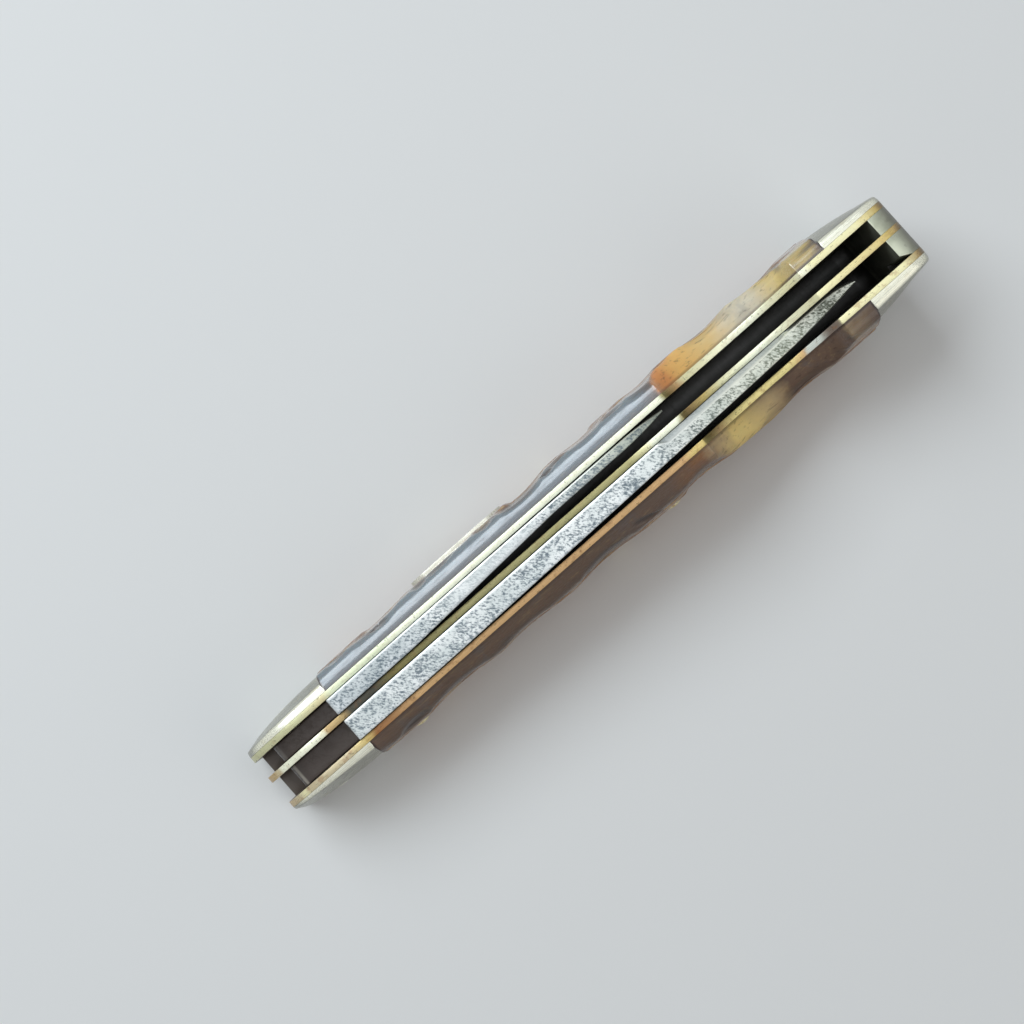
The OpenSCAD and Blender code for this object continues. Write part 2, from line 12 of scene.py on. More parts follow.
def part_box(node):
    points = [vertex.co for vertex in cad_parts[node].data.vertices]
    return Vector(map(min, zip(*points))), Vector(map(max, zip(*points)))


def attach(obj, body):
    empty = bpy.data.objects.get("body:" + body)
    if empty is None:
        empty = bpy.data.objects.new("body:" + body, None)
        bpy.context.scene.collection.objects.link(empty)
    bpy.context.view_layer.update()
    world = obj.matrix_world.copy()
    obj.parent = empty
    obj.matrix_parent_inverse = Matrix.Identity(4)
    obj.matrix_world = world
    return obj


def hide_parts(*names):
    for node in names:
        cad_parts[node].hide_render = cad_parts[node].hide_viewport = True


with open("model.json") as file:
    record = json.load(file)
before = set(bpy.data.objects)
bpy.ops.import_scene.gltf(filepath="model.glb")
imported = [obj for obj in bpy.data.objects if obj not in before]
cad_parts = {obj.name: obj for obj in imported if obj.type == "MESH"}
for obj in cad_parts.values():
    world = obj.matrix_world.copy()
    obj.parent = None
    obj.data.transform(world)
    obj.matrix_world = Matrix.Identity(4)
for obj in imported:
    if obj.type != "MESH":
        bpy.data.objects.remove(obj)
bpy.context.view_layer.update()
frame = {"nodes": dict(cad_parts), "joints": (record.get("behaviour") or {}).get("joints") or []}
mm = 0.001


# The photograph's view
# A phone held level above the table, a little off the knife's middle, with the knife lying
# at an angle across the picture from lower left to upper right.
camera_place = Vector((-5.11, 0.0, 170.0)) * mm
aimed_at = Vector((-5.11, 4.69, 0.0)) * mm
knife_angle = math.radians(41.47)

looking = (aimed_at - camera_place).normalized()
across = Vector((1, 0, 0))
upward = across.cross(looking)
picture_right = across * math.cos(knife_angle) - upward * math.sin(knife_angle)
picture_up = across * math.sin(knife_angle) + upward * math.cos(knife_angle)
camera = bpy.data.objects.new("camera", bpy.data.cameras.new("camera"))
camera.data.sensor_width = 36
camera.data.lens = 56.2
camera.data.clip_start = 0.01
camera.matrix_world = Matrix.Translation(camera_place) @ Matrix(
    (picture_right, picture_up, -looking)
).transposed().to_4x4()
bpy.context.scene.collection.objects.link(camera)
bpy.context.scene.camera = camera
bpy.context.scene.view_settings.view_transform = "Standard"


# Table top and studio light
# A plain pale top that fades into the background far from the knife, under a soft sky. A wide
# window of cool light stands on the shield's side, a weaker panel opposite and a broad one above.
def add(tree, kind, inputs=None, **settings):
    """Adds a shader node. An input is a number, a colour or another node's output."""
    made = tree.nodes.new(kind)
    for key, value in settings.items():
        setattr(made, key, value)
    for key, value in (inputs or {}).items():
        if isinstance(value, bpy.types.NodeSocket):
            tree.links.new(value, made.inputs[key])
        else:
            made.inputs[key].default_value = value
    return made


def surface(name, **uniform):
    """A new material, its tree and its shader. uniform holds the values that are the same all over."""
    material = bpy.data.materials.new(name)
    material.use_nodes = True
    shader = material.node_tree.nodes["Principled BSDF"]
    for key, value in uniform.items():
        shader.inputs[key.replace("_", " ")].default_value = value
    return material, material.node_tree, shader


def wire(tree, shader, **outputs):
    """Joins nodes' outputs to the shader's sockets."""
    for key, value in outputs.items():
        tree.links.new(value, shader.inputs[key.replace("_", " ")])


def places(tree):
    """Where each point of the surface is, in metres."""
    return add(tree, "ShaderNodeTexCoord").outputs["Object"]


def grain(tree, where, scale, detail=3.0, roughness=0.55, distortion=0.0):
    """Soft noise of that many lumps to a metre."""
    inputs = {
        "Vector": where, "Scale": scale, "Detail": detail,
        "Roughness": roughness, "Distortion": distortion,
    }
    return add(tree, "ShaderNodeTexNoise", inputs).outputs["Fac"]


def stretched(tree, where, x, y, z, turn=0.0):
    """The same place turned about Z, and then with each direction scaled, for streaks."""
    turned = add(tree, "ShaderNodeMapping", {"Vector": where, "Rotation": (0, 0, turn)}).outputs["Vector"]
    return add(tree, "ShaderNodeMapping", {"Vector": turned, "Scale": (x, y, z)}).outputs["Vector"]


def between(tree, value, low, high, to_low=0.0, to_high=1.0):
    """Rises smoothly from to_low to to_high as value goes from low to high."""
    inputs = {"Value": value, "From Min": low, "From Max": high, "To Min": to_low, "To Max": to_high}
    return add(tree, "ShaderNodeMapRange", inputs, interpolation_type="SMOOTHSTEP").outputs["Result"]


def reckon(tree, operation, a, b=0.0):
    return add(tree, "ShaderNodeMath", {0: a, 1: b}, operation=operation).outputs["Value"]


def times(tree, a, b):
    return reckon(tree, "MULTIPLY", a, b)


def tint(tree, share, under, over, how="MIX"):
    """Lays colour over on colour under, as far as share says."""
    made = add(tree, "ShaderNodeMix", {0: share, 6: under, 7: over}, data_type="RGBA", blend_type=how)
    return made.outputs[2]


def rgb(*seen):
    """A colour as it looks on a screen, turned into the linear one that a shader takes."""
    return tuple(((part + 0.055) / 1.055) ** 2.4 for part in seen) + (1.0,)


def relief(tree, shader, height, depth, strength=1.0):
    """Bumps the shader by height, which stands for depth metres."""
    inputs = {"Strength": strength, "Distance": depth, "Height": height}
    wire(tree, shader, Normal=add(tree, "ShaderNodeBump", inputs).outputs["Normal"])


def sees_backdrop(tree):
    """1 for the rays that show the background: the camera's, mirrored ones and those through glass."""
    rays = add(tree, "ShaderNodeLightPath").outputs
    indirect = reckon(tree, "MAXIMUM", rays["Is Glossy Ray"], rays["Is Transmission Ray"])
    return reckon(tree, "MAXIMUM", rays["Is Camera Ray"], indirect)


table_half = 3.0
table_gap = 0.00002
haze_start, haze_full = 0.08, 0.30
backdrop_colour = rgb(0.95, 0.965, 0.985)
backdrop_strength = 0.85
table = bpy.data.objects.new("table_top", bpy.data.meshes.new("table_top"))
corners = [(x * table_half, y * table_half, -table_gap) for x, y in ((-1, -1), (1, -1), (1, 1), (-1, 1))]
table.data.from_pydata(corners, [], [(0, 1, 2, 3)])
bpy.context.scene.collection.objects.link(table)
table_paint, tree, shader = surface("pale_table", Roughness=0.7, Specular_IOR_Level=0.25)
shader.inputs["Base Color"].default_value = rgb(0.91, 0.905, 0.895)
distance = add(tree, "ShaderNodeVectorMath", {0: places(tree)}, operation="LENGTH").outputs["Value"]
far_part = times(tree, between(tree, distance, haze_start, haze_full), sees_backdrop(tree))
haze = add(tree, "ShaderNodeEmission", {"Color": backdrop_colour, "Strength": backdrop_strength})
fading = add(tree, "ShaderNodeMixShader", {
    0: far_part, 1: shader.outputs["BSDF"], 2: haze.outputs["Emission"],
})
tree.links.new(fading.outputs["Shader"], tree.nodes["Material Output"].inputs["Surface"])
table.data.materials.append(table_paint)


def light_panel(name, place, size, power, colour):
    """A lamp that faces the knife."""
    lamp = bpy.data.objects.new(name, bpy.data.lights.new(name, "AREA"))
    lamp.data.shape = "RECTANGLE"
    lamp.data.size, lamp.data.size_y = size
    lamp.data.energy = power
    lamp.data.color = colour
    lamp.location = place
    lamp.rotation_mode = "QUATERNION"
    lamp.rotation_quaternion = Vector(place).to_track_quat("Z", "Y")
    bpy.context.scene.collection.objects.link(lamp)


light_panel("window", (-0.10, 0.36, 0.40), (0.45, 0.30), 2.0, (0.84, 0.93, 1.0))
light_panel("far_panel", (0.30, -0.40, 0.36), (0.40, 0.40), 0.45, (1.0, 0.97, 0.92))
light_panel("ceiling", (0.05, 0.08, 0.70), (1.0, 0.45), 1.15, (0.95, 0.98, 1.0))
sky = bpy.data.worlds.new("sky")
sky.use_nodes = True
tree, background = sky.node_tree, sky.node_tree.nodes["Background"]
background.inputs["Color"].default_value = backdrop_colour
strength = between(tree, sees_backdrop(tree), 0, 1, 0.20, backdrop_strength)
tree.links.new(strength, background.inputs["Strength"])
bpy.context.scene.world = sky


# Brass liners
# Three thin sheets that part the wells, cut by the easy-open notch. Their upper edges are rubbed
# bright at the ends and in the notch, and the centre liner's stretch between the blades' spines is painted
# dark as shade.
def soften(piece, width, steps=2):
    """Rounds a CAD node's sharp edges by modifiers, which leave its mesh as it is."""
    weld = piece.modifiers.new("weld", "WELD")
    weld.merge_threshold = 0.001 * mm
    flats = piece.modifiers.new("flats", "DECIMATE")
    flats.decimate_type = "DISSOLVE"
    flats.angle_limit = math.radians(0.3)
    rounding = piece.modifiers.new("rounding", "BEVEL")
    rounding.width = width
    rounding.segments = steps
    rounding.limit_method = "ANGLE"
    rounding.angle_limit = math.radians(35)
    rounding.harden_normals = False
    for polygon in piece.data.polygons:
        polygon.use_smooth = True
    piece.data.set_sharp_from_angle(angle=math.radians(40))


def dress(node, material, width=None, steps=2):
    """Gives a CAD node its finish and its worn edges."""
    piece = frame["nodes"][node]
    piece.data.materials.clear()
    piece.data.materials.append(material)
    if width:
        soften(piece, width, steps)


def component(tree, vector, axis):
    return add(tree, "ShaderNodeSeparateXYZ", {0: vector}).outputs[axis]


def facing(tree, axis):
    """How far the surface faces along an axis, from -1 to 1."""
    return component(tree, add(tree, "ShaderNodeNewGeometry").outputs["Normal"], axis)


def well_dust_and_shade(tree, where):
    """Dust and painted shade inside the wells: brown dust and shade where they are open at the front,
    painted shade nearly black behind.
    """
    dusty_end, dark_start = -32 * mm, -29 * mm
    behind = between(tree, component(tree, where, "X"), dusty_end, dark_start)
    return tint(tree, behind, rgb(0.40, 0.355, 0.32), rgb(0.15, 0.135, 0.125))


handle_front, handle_rear = (corner[0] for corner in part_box("liner_mark"))
liner_wear = 0.06 * mm
pale_cream = rgb(0.97, 0.97, 0.86)
dull_cream = rgb(0.85, 0.80, 0.62)
worn_cream = rgb(0.80, 0.79, 0.62)
green_cream = rgb(0.90, 0.92, 0.78)
cream_brass = rgb(0.95, 0.92, 0.72)
yellow_brass = rgb(0.86, 0.76, 0.47)
tan_brass = rgb(0.75, 0.63, 0.42)
warm_tan = rgb(0.78, 0.66, 0.46)
dull_tan = rgb(0.72, 0.62, 0.42)
worn_tan = rgb(0.80, 0.74, 0.60)
worn_butt = rgb(0.52, 0.47, 0.36)
olive_brass = rgb(0.70, 0.67, 0.46)
shade_olive = rgb(0.56, 0.52, 0.30)
spine_shade_grey = rgb(0.30, 0.29, 0.24)
gold_brass = rgb(0.98, 0.91, 0.61)
orange_tan = rgb(0.89, 0.72, 0.50)
copper_brown = rgb(0.60, 0.39, 0.21)
silvery = rgb(0.86, 0.87, 0.82)
mauve_tarnish = rgb(0.50, 0.44, 0.39)
# Dark brown for the pits, and on faces turned to the butt for painted shade.
tarnish_and_shade = rgb(0.24, 0.17, 0.10)


def along(tree, where, stops, wander_reach=0.6):
    """A colour that changes from the pivot end to the butt, at places in millimetres."""
    x = component(tree, where, "X")
    wander = reckon(tree, "MULTIPLY_ADD", grain(tree, where, 420), 4 * wander_reach * mm)
    wander.node.inputs[2].default_value = -2 * wander_reach * mm
    share = between(tree, reckon(tree, "ADD", x, wander), handle_front, handle_rear)
    share.node.interpolation_type = "LINEAR"
    ramp = add(tree, "ShaderNodeValToRGB", {"Fac": share})
    ramp.color_ramp.interpolation = "LINEAR"
    points = ramp.color_ramp.elements
    points.remove(points[1])
    for number, (place, colour) in enumerate(stops):
        share_of_length = (place * mm - handle_front) / (handle_rear - handle_front)
        point = points[0] if number == 0 else points.new(share_of_length)
        point.position = share_of_length
        point.color = colour
    return ramp.outputs["Color"]


def liner_brass(name, stops, mottled):
    """Filed brass, coloured by stops along its upper edge, and on its faces inside the wells given the
    wells' dust and painted shade.
    """
    material, tree, shader = surface(name, Metallic=0.35)
    where = places(tree)
    colour = along(tree, where, stops)
    patches = between(tree, grain(tree, where, 650, 4, 0.6), 0.52, 0.68, 0.0, 0.45 * mottled)
    colour = tint(tree, patches, colour, tan_brass)
    specks = between(tree, grain(tree, where, 1500, 4), 0.54, 0.68, 0.0, mottled)
    colour = tint(tree, specks, colour, copper_brown)
    pits = between(tree, grain(tree, where, 3200, 2), 0.62, 0.70, 0.0, 0.4)
    colour = tint(tree, pits, colour, tarnish_and_shade)
    # Faces that turn towards the butt, such as the notch's front wall, are painted darker as shade.
    colour = tint(tree, between(tree, facing(tree, "X"), 0.45, 0.80, 0.0, 0.5), colour, tarnish_and_shade)
    # The faces inside the wells take the wells' dust and painted shade.
    sideways = reckon(tree, "ABSOLUTE", facing(tree, "Y"))
    colour = tint(tree, between(tree, sideways, 0.75, 0.97, 0.0, 0.93), colour, well_dust_and_shade(tree, where))
    file_marks = grain(tree, stretched(tree, where, 0.35, 3.0, 0.35), 2600, 2)
    wire(tree, shader, Base_Color=colour, Roughness=between(tree, file_marks, 0.3, 0.7, 0.26, 0.46))
    relief(tree, shader, file_marks, 0.012 * mm, 0.6)
    return material


# The dark olive stops just behind the notch's front corner, on all three liners, are painted shade on its
# steep front wall.
mark_brass = liner_brass("brass_mark_liner", [
    (-42, worn_cream), (-35, worn_cream), (-31.5, dull_cream), (-30, green_cream),
    (-24, green_cream), (-21, pale_cream), (12.8, pale_cream), (13.6, shade_olive), (14.4, tan_brass),
    # The paler stop at 31.4 mm, between two cream ones, is a painted glint on the notch's rear corner.
    (15.2, orange_tan), (16.4, cream_brass), (25, pale_cream), (30, cream_brass), (31.4, pale_cream),
    (33, cream_brass), (38.5, cream_brass), (40.6, yellow_brass), (41.4, tan_brass), (42.1, worn_butt),
], 0.18)
# On the centre liner the grey stretch from -30 to -27 mm, fading to olive at -24 mm, is painted shade
# between the blades' spines.
center_brass = liner_brass("brass_center_liner", [
    (-42, tan_brass), (-40.4, tan_brass), (-39.6, pale_cream), (-34, pale_cream),
    (-33.3, warm_tan), (-31, dull_tan), (-30, spine_shade_grey), (-27, spine_shade_grey), (-24, shade_olive),
    (-16, olive_brass), (7, olive_brass), (8.8, cream_brass), (10, pale_cream), (13, pale_cream),
    (13.7, shade_olive), (14.7, tan_brass), (16.5, yellow_brass),
    (18.5, cream_brass), (24, pale_cream), (32, cream_brass), (40, yellow_brass), (41.2, tan_brass),
    (42.1, worn_butt),
], 0.2)
pile_brass = liner_brass("brass_pile_liner", [
    (-42, tan_brass), (-40.4, worn_tan), (-39.5, cream_brass), (-38.6, worn_tan), (-33, worn_tan),
    (-31, yellow_brass), (-29.5, copper_brown), (-24, orange_tan), (11, orange_tan), (12.2, yellow_brass),
    (13, yellow_brass), (14, shade_olive), (15.5, tan_brass), (18, gold_brass), (25, gold_brass),
    (27.0, orange_tan), (27.6, silvery), (28.9, silvery), (29.5, mauve_tarnish), (31, mauve_tarnish),
    (31.3, cream_brass), (39, cream_brass), (41, tan_brass), (42.1, worn_butt),
], 0.38)
dress("liner_mark", mark_brass, liner_wear)
dress("liner_center", center_brass, liner_wear)
dress("liner_pile", pile_brass, liner_wear)


# Backsprings
# Two hardened strips under the wells, each turned up at the butt, where its end is filed flush
# with the liners and polished by the hand.
spring_wear = 0.12 * mm
dark_below, clean_above = 11 * mm, 12 * mm
spring_steel, tree, shader = surface("satin_spring_steel")
where = places(tree)
clouds = grain(tree, where, 420, 4)
colour = tint(tree, between(tree, clouds, 0.35, 0.65), rgb(0.68, 0.69, 0.60), rgb(0.80, 0.81, 0.72))
stains = between(tree, grain(tree, where, 1100, 3), 0.58, 0.72, 0.0, 0.3)
colour = tint(tree, stains, colour, rgb(0.42, 0.40, 0.37))
# Upward faces deep in the wells, and the butt's inner wall, take the wells' dust and painted shade and lose
# their shine.
deep_down = between(tree, component(tree, where, "Z"), clean_above, dark_below)
well_floor = times(tree, between(tree, facing(tree, "Z"), 0.1, 0.5), deep_down)
well_wall = between(tree, facing(tree, "X"), -0.4, -0.8)
well_dust_shade_mask = reckon(tree, "MAXIMUM", well_floor, times(tree, well_wall, 0.8))
# The butt end, where it turns down away from the light, is painted darker as shade.
butt_end_shade = between(tree, facing(tree, "X"), 0.15, 0.95)
colour = tint(tree, butt_end_shade, colour, rgb(0.42, 0.41, 0.37))
colour = tint(tree, times(tree, well_dust_shade_mask, 0.97), colour, well_dust_and_shade(tree, where))
file_marks = grain(tree, stretched(tree, where, 3.0, 0.3, 0.3), 2400, 2)
wire(
    tree, shader, Base_Color=colour, Metallic=between(tree, well_dust_shade_mask, 0, 1, 0.5, 0.1),
    Roughness=between(tree, file_marks, 0.3, 0.7, 0.30, 0.46),
)
relief(tree, shader, file_marks, 0.01 * mm, 0.5)
for node in ("spring_master", "spring_pen"):
    dress(node, spring_steel, spring_wear)


# Blades
# Carbon steel, each with a square tang on the pivot, a flat grind, a nail nick and a spine that
# old rust has peppered with fine dark pits. The master blade's clip has a long swedge, and the pen
# blade's spine is rubbed round and cleaner where a thumb slides along it.
pivot_x, _, pivot_z = (value / mm for value in frame["joints"][0]["pos_m"])
closed_rise = math.radians(5.5)
tang_half = 2.98
tang_corner = 2.0
tang_heel = 1.2
shoulder_reach = 5.45
kick_reach = 6.9
kick_step = 0.5
choil_length = 1.4
plunge_start = 9.9
plunge_run = 2.2
spine_corner = 0.13
edge_half = 0.04
pivot_pin_radius = 1.4
pin_gap = 0.05
spring_tip = 2.4
spring_flat_length = 13.5
spring_rise, spring_rise_end = 1.1, -4.5
edge_gap = 0.5
spring_flat_end = handle_front / mm + spring_flat_length
edge_rise = math.atan2(spring_rise, spring_rise_end - spring_flat_end)
station_step = 0.22
widest_round = 0.42


def drawn(t, p, q, r):
    """Values from p to r that are drawn towards q on the way, as t goes from 0 to 1."""
    return (1 - t) ** 2 * p + 2 * t * (1 - t) * q + t ** 2 * r


def bend(p, q, r, steps=40):
    """Points of a curve from p to r that is drawn towards q."""
    return drawn(np.linspace(0, 1, steps + 1)[:, None], np.array(p), np.array(q), np.array(r))


def arc(center, radius, start, end, steps=16):
    """Points of a circle from a start angle to an end angle in degrees."""
    angle = np.radians(np.linspace(start, end, steps + 1))
    return np.array(center) + radius * np.stack([np.cos(angle), np.sin(angle)], 1)


def to_blade(points):
    """From the handle's side view to the blade's own, with the pivot at nought and the spine level."""
    x, z = (np.atleast_2d(points) - (pivot_x, pivot_z)).T
    c, s = math.cos(closed_rise), math.sin(closed_rise)
    return np.stack([x * c + z * s, z * c - x * s], 1)


def height_in_blade(x, z):
    """How high a place in the handle's side view is in the blade's own."""
    return (z - pivot_z) * math.cos(closed_rise) - (x - pivot_x) * math.sin(closed_rise)


def to_handle(along_spine, above_pivot):
    """From the blade's own side view back to the handle's."""
    c, s = math.cos(closed_rise), math.sin(closed_rise)
    return pivot_x + along_spine * c - above_pivot * s, pivot_z + along_spine * s + above_pivot * c


def master_edge(x):
    """Height of the master blade's edge line, parallel to its spring."""
    return spring_tip + edge_gap + (x - spring_flat_end) * math.tan(edge_rise)


def smooth(value, low, high):
    """0 up to low, 1 from high on, and a soft rise between."""
    share = np.clip((value - low) / (high - low), 0, 1)
    return share * share * (3 - 2 * share)


def closed_tube(name, rings):
    """A closed mesh through rings of points in millimetres, with a flat cap at each end."""
    count, size = rings.shape[:2]
    corner = np.arange(count * size).reshape(count, size)
    sides = np.stack([
        corner[:-1], corner[1:], np.roll(corner[1:], -1, 1), np.roll(corner[:-1], -1, 1),
    ], -1).reshape(-1, 4)
    faces = sides.tolist() + [corner[0].tolist(), corner[-1][::-1].tolist()]
    mesh = bpy.data.meshes.new(name)
    mesh.from_pydata((rings.reshape(-1, 3) * mm).tolist(), [], faces)
    mesh.validate()
    mesh.update()
    mesh.shade_smooth()
    mesh.set_sharp_from_angle(angle=math.radians(38))
    piece = bpy.data.objects.new(name, mesh)
    bpy.context.scene.collection.objects.link(piece)
    return piece


def paint_map(piece, name, values):
    """Stores a number for each point, for the piece's material."""
    piece.data.attributes.new(name, "FLOAT", "POINT").data.foreach_set("value", values.ravel())


def painted(tree, name):
    """The number that paint_map has stored, in a material."""
    return add(tree, "ShaderNodeAttribute", attribute_name=name).outputs["Fac"]


def drill(piece, place, radius, low, high):
    """Cuts a round hole through, along Y."""
    bpy.ops.mesh.primitive_cylinder_add(vertices=64, radius=radius * mm, depth=(high - low) * mm)
    drill_bit = bpy.context.object
    drill_bit.rotation_euler = (math.pi / 2, 0, 0)
    drill_bit.location = (place[0] * mm, (low + high) / 2 * mm, place[1] * mm)
    cut = piece.modifiers.new("hole", "BOOLEAN")
    cut.operation = "DIFFERENCE"
    cut.object = drill_bit
    cut.solver = "MANIFOLD"
    bpy.context.view_layer.update()
    shaped = bpy.data.meshes.new_from_object(piece.evaluated_get(bpy.context.evaluated_depsgraph_get()))
    shaped.materials.clear()
    piece.modifiers.clear()
    piece.data = shaped
    bpy.data.objects.remove(drill_bit)


def forge(name, node, upper, lower, faces, reaches, nick, pile_round):
    """Builds a blade from its upper and lower outline and from what its two faces are at any place."""
    start, end = upper[0, 0], upper[-1, 0]
    turns = np.concatenate([upper[:, 0], lower[:, 0]])
    regular = np.arange(start, end, station_step)
    stations = np.unique(np.round(np.concatenate([regular, turns, reaches]), 3))
    stations = stations[(stations >= start) & (stations <= end - 0.02)][:, None]
    top = np.interp(stations, upper[:, 0], upper[:, 1])
    bottom = np.interp(stations, lower[:, 0], lower[:, 1])
    nick_share = nick[1] / np.max(top - bottom)
    levels = (0, 0.04, nick_share - 0.08, nick_share + 0.10, 0.93, 1)
    down = np.unique(np.concatenate([
        np.linspace(levels[band], levels[band + 1], count) for band, count in enumerate((4, 6, 26, 22, 7))
    ]))[None, :]

    x_top, z_top = to_handle(stations, top)
    pile_top, mark_top = faces(x_top, z_top, stations, top, bottom)
    room = widest_round * np.minimum(mark_top - pile_top, top - bottom)
    corner = np.minimum(spine_corner, room)
    pile_corner = np.minimum(pile_round(stations), room)
    level = top - corner - down * (top - corner - bottom)
    x_side, z_side = to_handle(stations + 0 * level, level)
    pile, mark = faces(x_side, z_side, stations, top, bottom)

    turn = np.radians(np.linspace(0, 90, 5))[None, :]
    flat = np.linspace(0, 1, 9)[None, 1:-1]
    pile_edge, mark_edge = pile[:, :1] + pile_corner, mark[:, :1] - corner
    crown = [
        (pile_edge - pile_corner * np.cos(turn), top - corner + corner * np.sin(turn)),
        (pile_edge + (mark_edge - pile_edge) * flat, top + 0 * flat),
        (mark_edge + corner * np.cos(turn[:, ::-1]), top - corner + corner * np.sin(turn[:, ::-1])),
        (mark[:, 1:], level[:, 1:]),
        (pile[:, :0:-1], level[:, :0:-1]),
    ]
    y = np.concatenate([part[0] for part in crown], 1)
    height = np.concatenate([part[1] for part in crown], 1)
    x, z = to_handle(stations + 0 * height, height)
    piece = closed_tube(name, np.stack([x, y, z], -1))

    spine_points = 2 * turn.size + flat.size
    on_spine = 0.75 * (1 - smooth(top - height, 0.3, 0.6))
    on_spine[:, 1:spine_points - 1] = 1
    # rim marks the spine's rounded corners, fully on the mark side and less on the pile side: the material
    # paints them paler there as a highlight, and keeps them free of pits as wear.
    rim = np.zeros_like(height)
    rim[:, :turn.size] = 0.3
    rim[:, spine_points - turn.size:spine_points] = 1
    paint_map(piece, "spine", on_spine)
    paint_map(piece, "rim", rim)
    paint_map(piece, "above_edge", height - bottom)
    paint_map(piece, "reach", stations + 0 * height)
    low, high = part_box(node)
    drill(piece, (pivot_x, pivot_z), pivot_pin_radius + pin_gap, low[1] / mm - 1, high[1] / mm + 1)
    return piece


def nail_nick(reach, above, nick):
    """Depth of the crescent nick at a place on the mark face. nick gives how far along the blade it is,
    how far below the spine, the cutter's radius, the depth and the width."""
    place, drop, radius, depth, width = nick
    curve = np.sqrt(np.maximum(radius ** 2 - (reach - place) ** 2, 0)) - (radius - depth)
    steep_wall = smooth(pivot_z - drop + width / 2 - above, -0.06, 0.12)
    sloping_wall = 1 - smooth(pivot_z - drop - above, -0.1 * width, 0.75 * width)
    return np.maximum(curve, 0) * (steep_wall * sloping_wall)


def near_tip(x, tip_x, run):
    """0 to 1 over the last millimetres before a blade's tip."""
    return np.clip((x - (tip_x - run)) / run, 0, 1)


def ground(above_edge, blade_height, reach, thick_half, grind_height):
    """Half thickness of a flat grind, which begins with a plunge in front of the tang."""
    height = np.minimum(grind_height, 0.94 * blade_height)
    bevel = edge_half + (thick_half - edge_half) * np.minimum(above_edge / height, 1.0)
    return thick_half + (bevel - thick_half) * smooth(reach, plunge_start, plunge_start + plunge_run)


def cut_back(pile, mark, middle, half, nick_depth):
    """Both faces of a blade, cut back to the grind and on the mark side by the nail nick."""
    pile = np.maximum(pile, middle - half)
    mark = np.minimum(mark, middle + half) - nick_depth
    centre = (mark + pile) / 2
    return np.minimum(pile, centre - edge_half), np.maximum(mark, centre + edge_half)


tang_end = arc((-(tang_half - tang_corner), tang_half - tang_corner), tang_corner, 180, 90)
heel_out = (tang_half - tang_heel) * (1 - math.sin(closed_rise)) / math.cos(closed_rise)
heel_center = (pivot_x - heel_out, pivot_z - tang_half + tang_heel)
tang_under = to_blade(np.concatenate([
    arc(heel_center, tang_heel, 180 + math.degrees(closed_rise), 270),
    [
        (pivot_x + kick_reach, pivot_z - tang_half),
        (pivot_x + kick_reach + kick_step / 2, pivot_z - tang_half + kick_step),
    ],
]))
shoulder = [
    (shoulder_reach - 0.02, tang_half), (shoulder_reach, pivot_z - 0.22),
    (shoulder_reach + 0.05, pivot_z - 0.08), (shoulder_reach + 0.2, pivot_z),
]

blade_steel, tree, shader = surface("peppered_blade_steel")
where = places(tree)
spine = painted(tree, "spine")
rim = painted(tree, "rim")
above_edge = painted(tree, "above_edge")
hone_lines = grain(tree, stretched(tree, where, 1.0, 0.2, 0.035), 9000, 3)
patina = between(tree, grain(tree, where, 190, 5, 0.62), 0.38, 0.68)
flat_steel = tint(tree, patina, rgb(0.58, 0.60, 0.61), rgb(0.38, 0.40, 0.41))
flat_steel = tint(tree, between(tree, hone_lines, 0.35, 0.65, 0.0, 0.35), flat_steel, rgb(0.70, 0.72, 0.73))
honed = between(tree, above_edge, 0.75, 0.55)
flat_steel = tint(tree, honed, flat_steel, rgb(0.78, 0.80, 0.82))
light_and_dark = between(tree, grain(tree, where, 420, 3), 0.35, 0.65)
spine_steel = tint(tree, light_and_dark, rgb(0.83, 0.85, 0.84), rgb(0.90, 0.91, 0.90))
# A painted highlight along the spine's corners, strongest on the mark side.
spine_steel = tint(tree, times(tree, rim, 0.7), spine_steel, rgb(0.95, 0.955, 0.94))
colour = tint(tree, spine, flat_steel, spine_steel)
strokes = stretched(tree, where, 0.55, 1.0, 1.0, math.radians(45))
fine_pits = times(tree, grain(tree, strokes, 5400, 3, 0.65), 0.71)
pit_groups = times(tree, grain(tree, where, 700, 2), 0.29)
peppered = between(tree, reckon(tree, "ADD", fine_pits, pit_groups), 0.44, 0.61)
clear_rim = between(tree, rim, 0.1, 0.9, 1.0, 0.10)
amount = times(tree, peppered, clear_rim)
amount = times(tree, amount, between(tree, spine, 0, 1, 0.35, 0.95))
x = component(tree, where, "X")
y = component(tree, where, "Y")
pen_spine = times(tree, between(tree, y, -0.1 * mm, 0.3 * mm), spine)
rubbed_clean = times(tree, between(tree, x, -19 * mm, -12 * mm), between(tree, x, -2 * mm, -7 * mm))
rubbed_clean = times(tree, rubbed_clean, pen_spine)
on_swedge = times(tree, between(tree, facing(tree, "Y"), 0.2, 0.4), spine)
amount = times(tree, amount, between(tree, on_swedge, 0, 1, 1.0, 0.25))
amount = times(tree, amount, between(tree, rubbed_clean, 0, 1, 1.0, 0.4))
pen_front = times(tree, between(tree, x, -17 * mm, -23 * mm), pen_spine)
colour = tint(tree, pen_front, colour, rgb(0.91, 0.92, 0.93), "MULTIPLY")
pen_point = times(tree, between(tree, x, -5 * mm, 8 * mm), pen_spine)
colour = tint(tree, pen_point, colour, rgb(0.80, 0.81, 0.765), "MULTIPLY")
towards_tip = times(tree, between(tree, x, 4 * mm, 24 * mm), spine)
colour = tint(tree, towards_tip, colour, rgb(0.96, 0.955, 0.90), "MULTIPLY")
pit_colour = tint(tree, towards_tip, rgb(0.38, 0.43, 0.46), rgb(0.44, 0.46, 0.39))
colour = tint(tree, amount, colour, pit_colour)
reach = painted(tree, "reach")
# The tang, deep in the well between the liners, is coloured dark brown: stain, and painted shade.
tang_shade_and_stain = between(tree, reach, shoulder_reach + 0.12, shoulder_reach + 0.02)
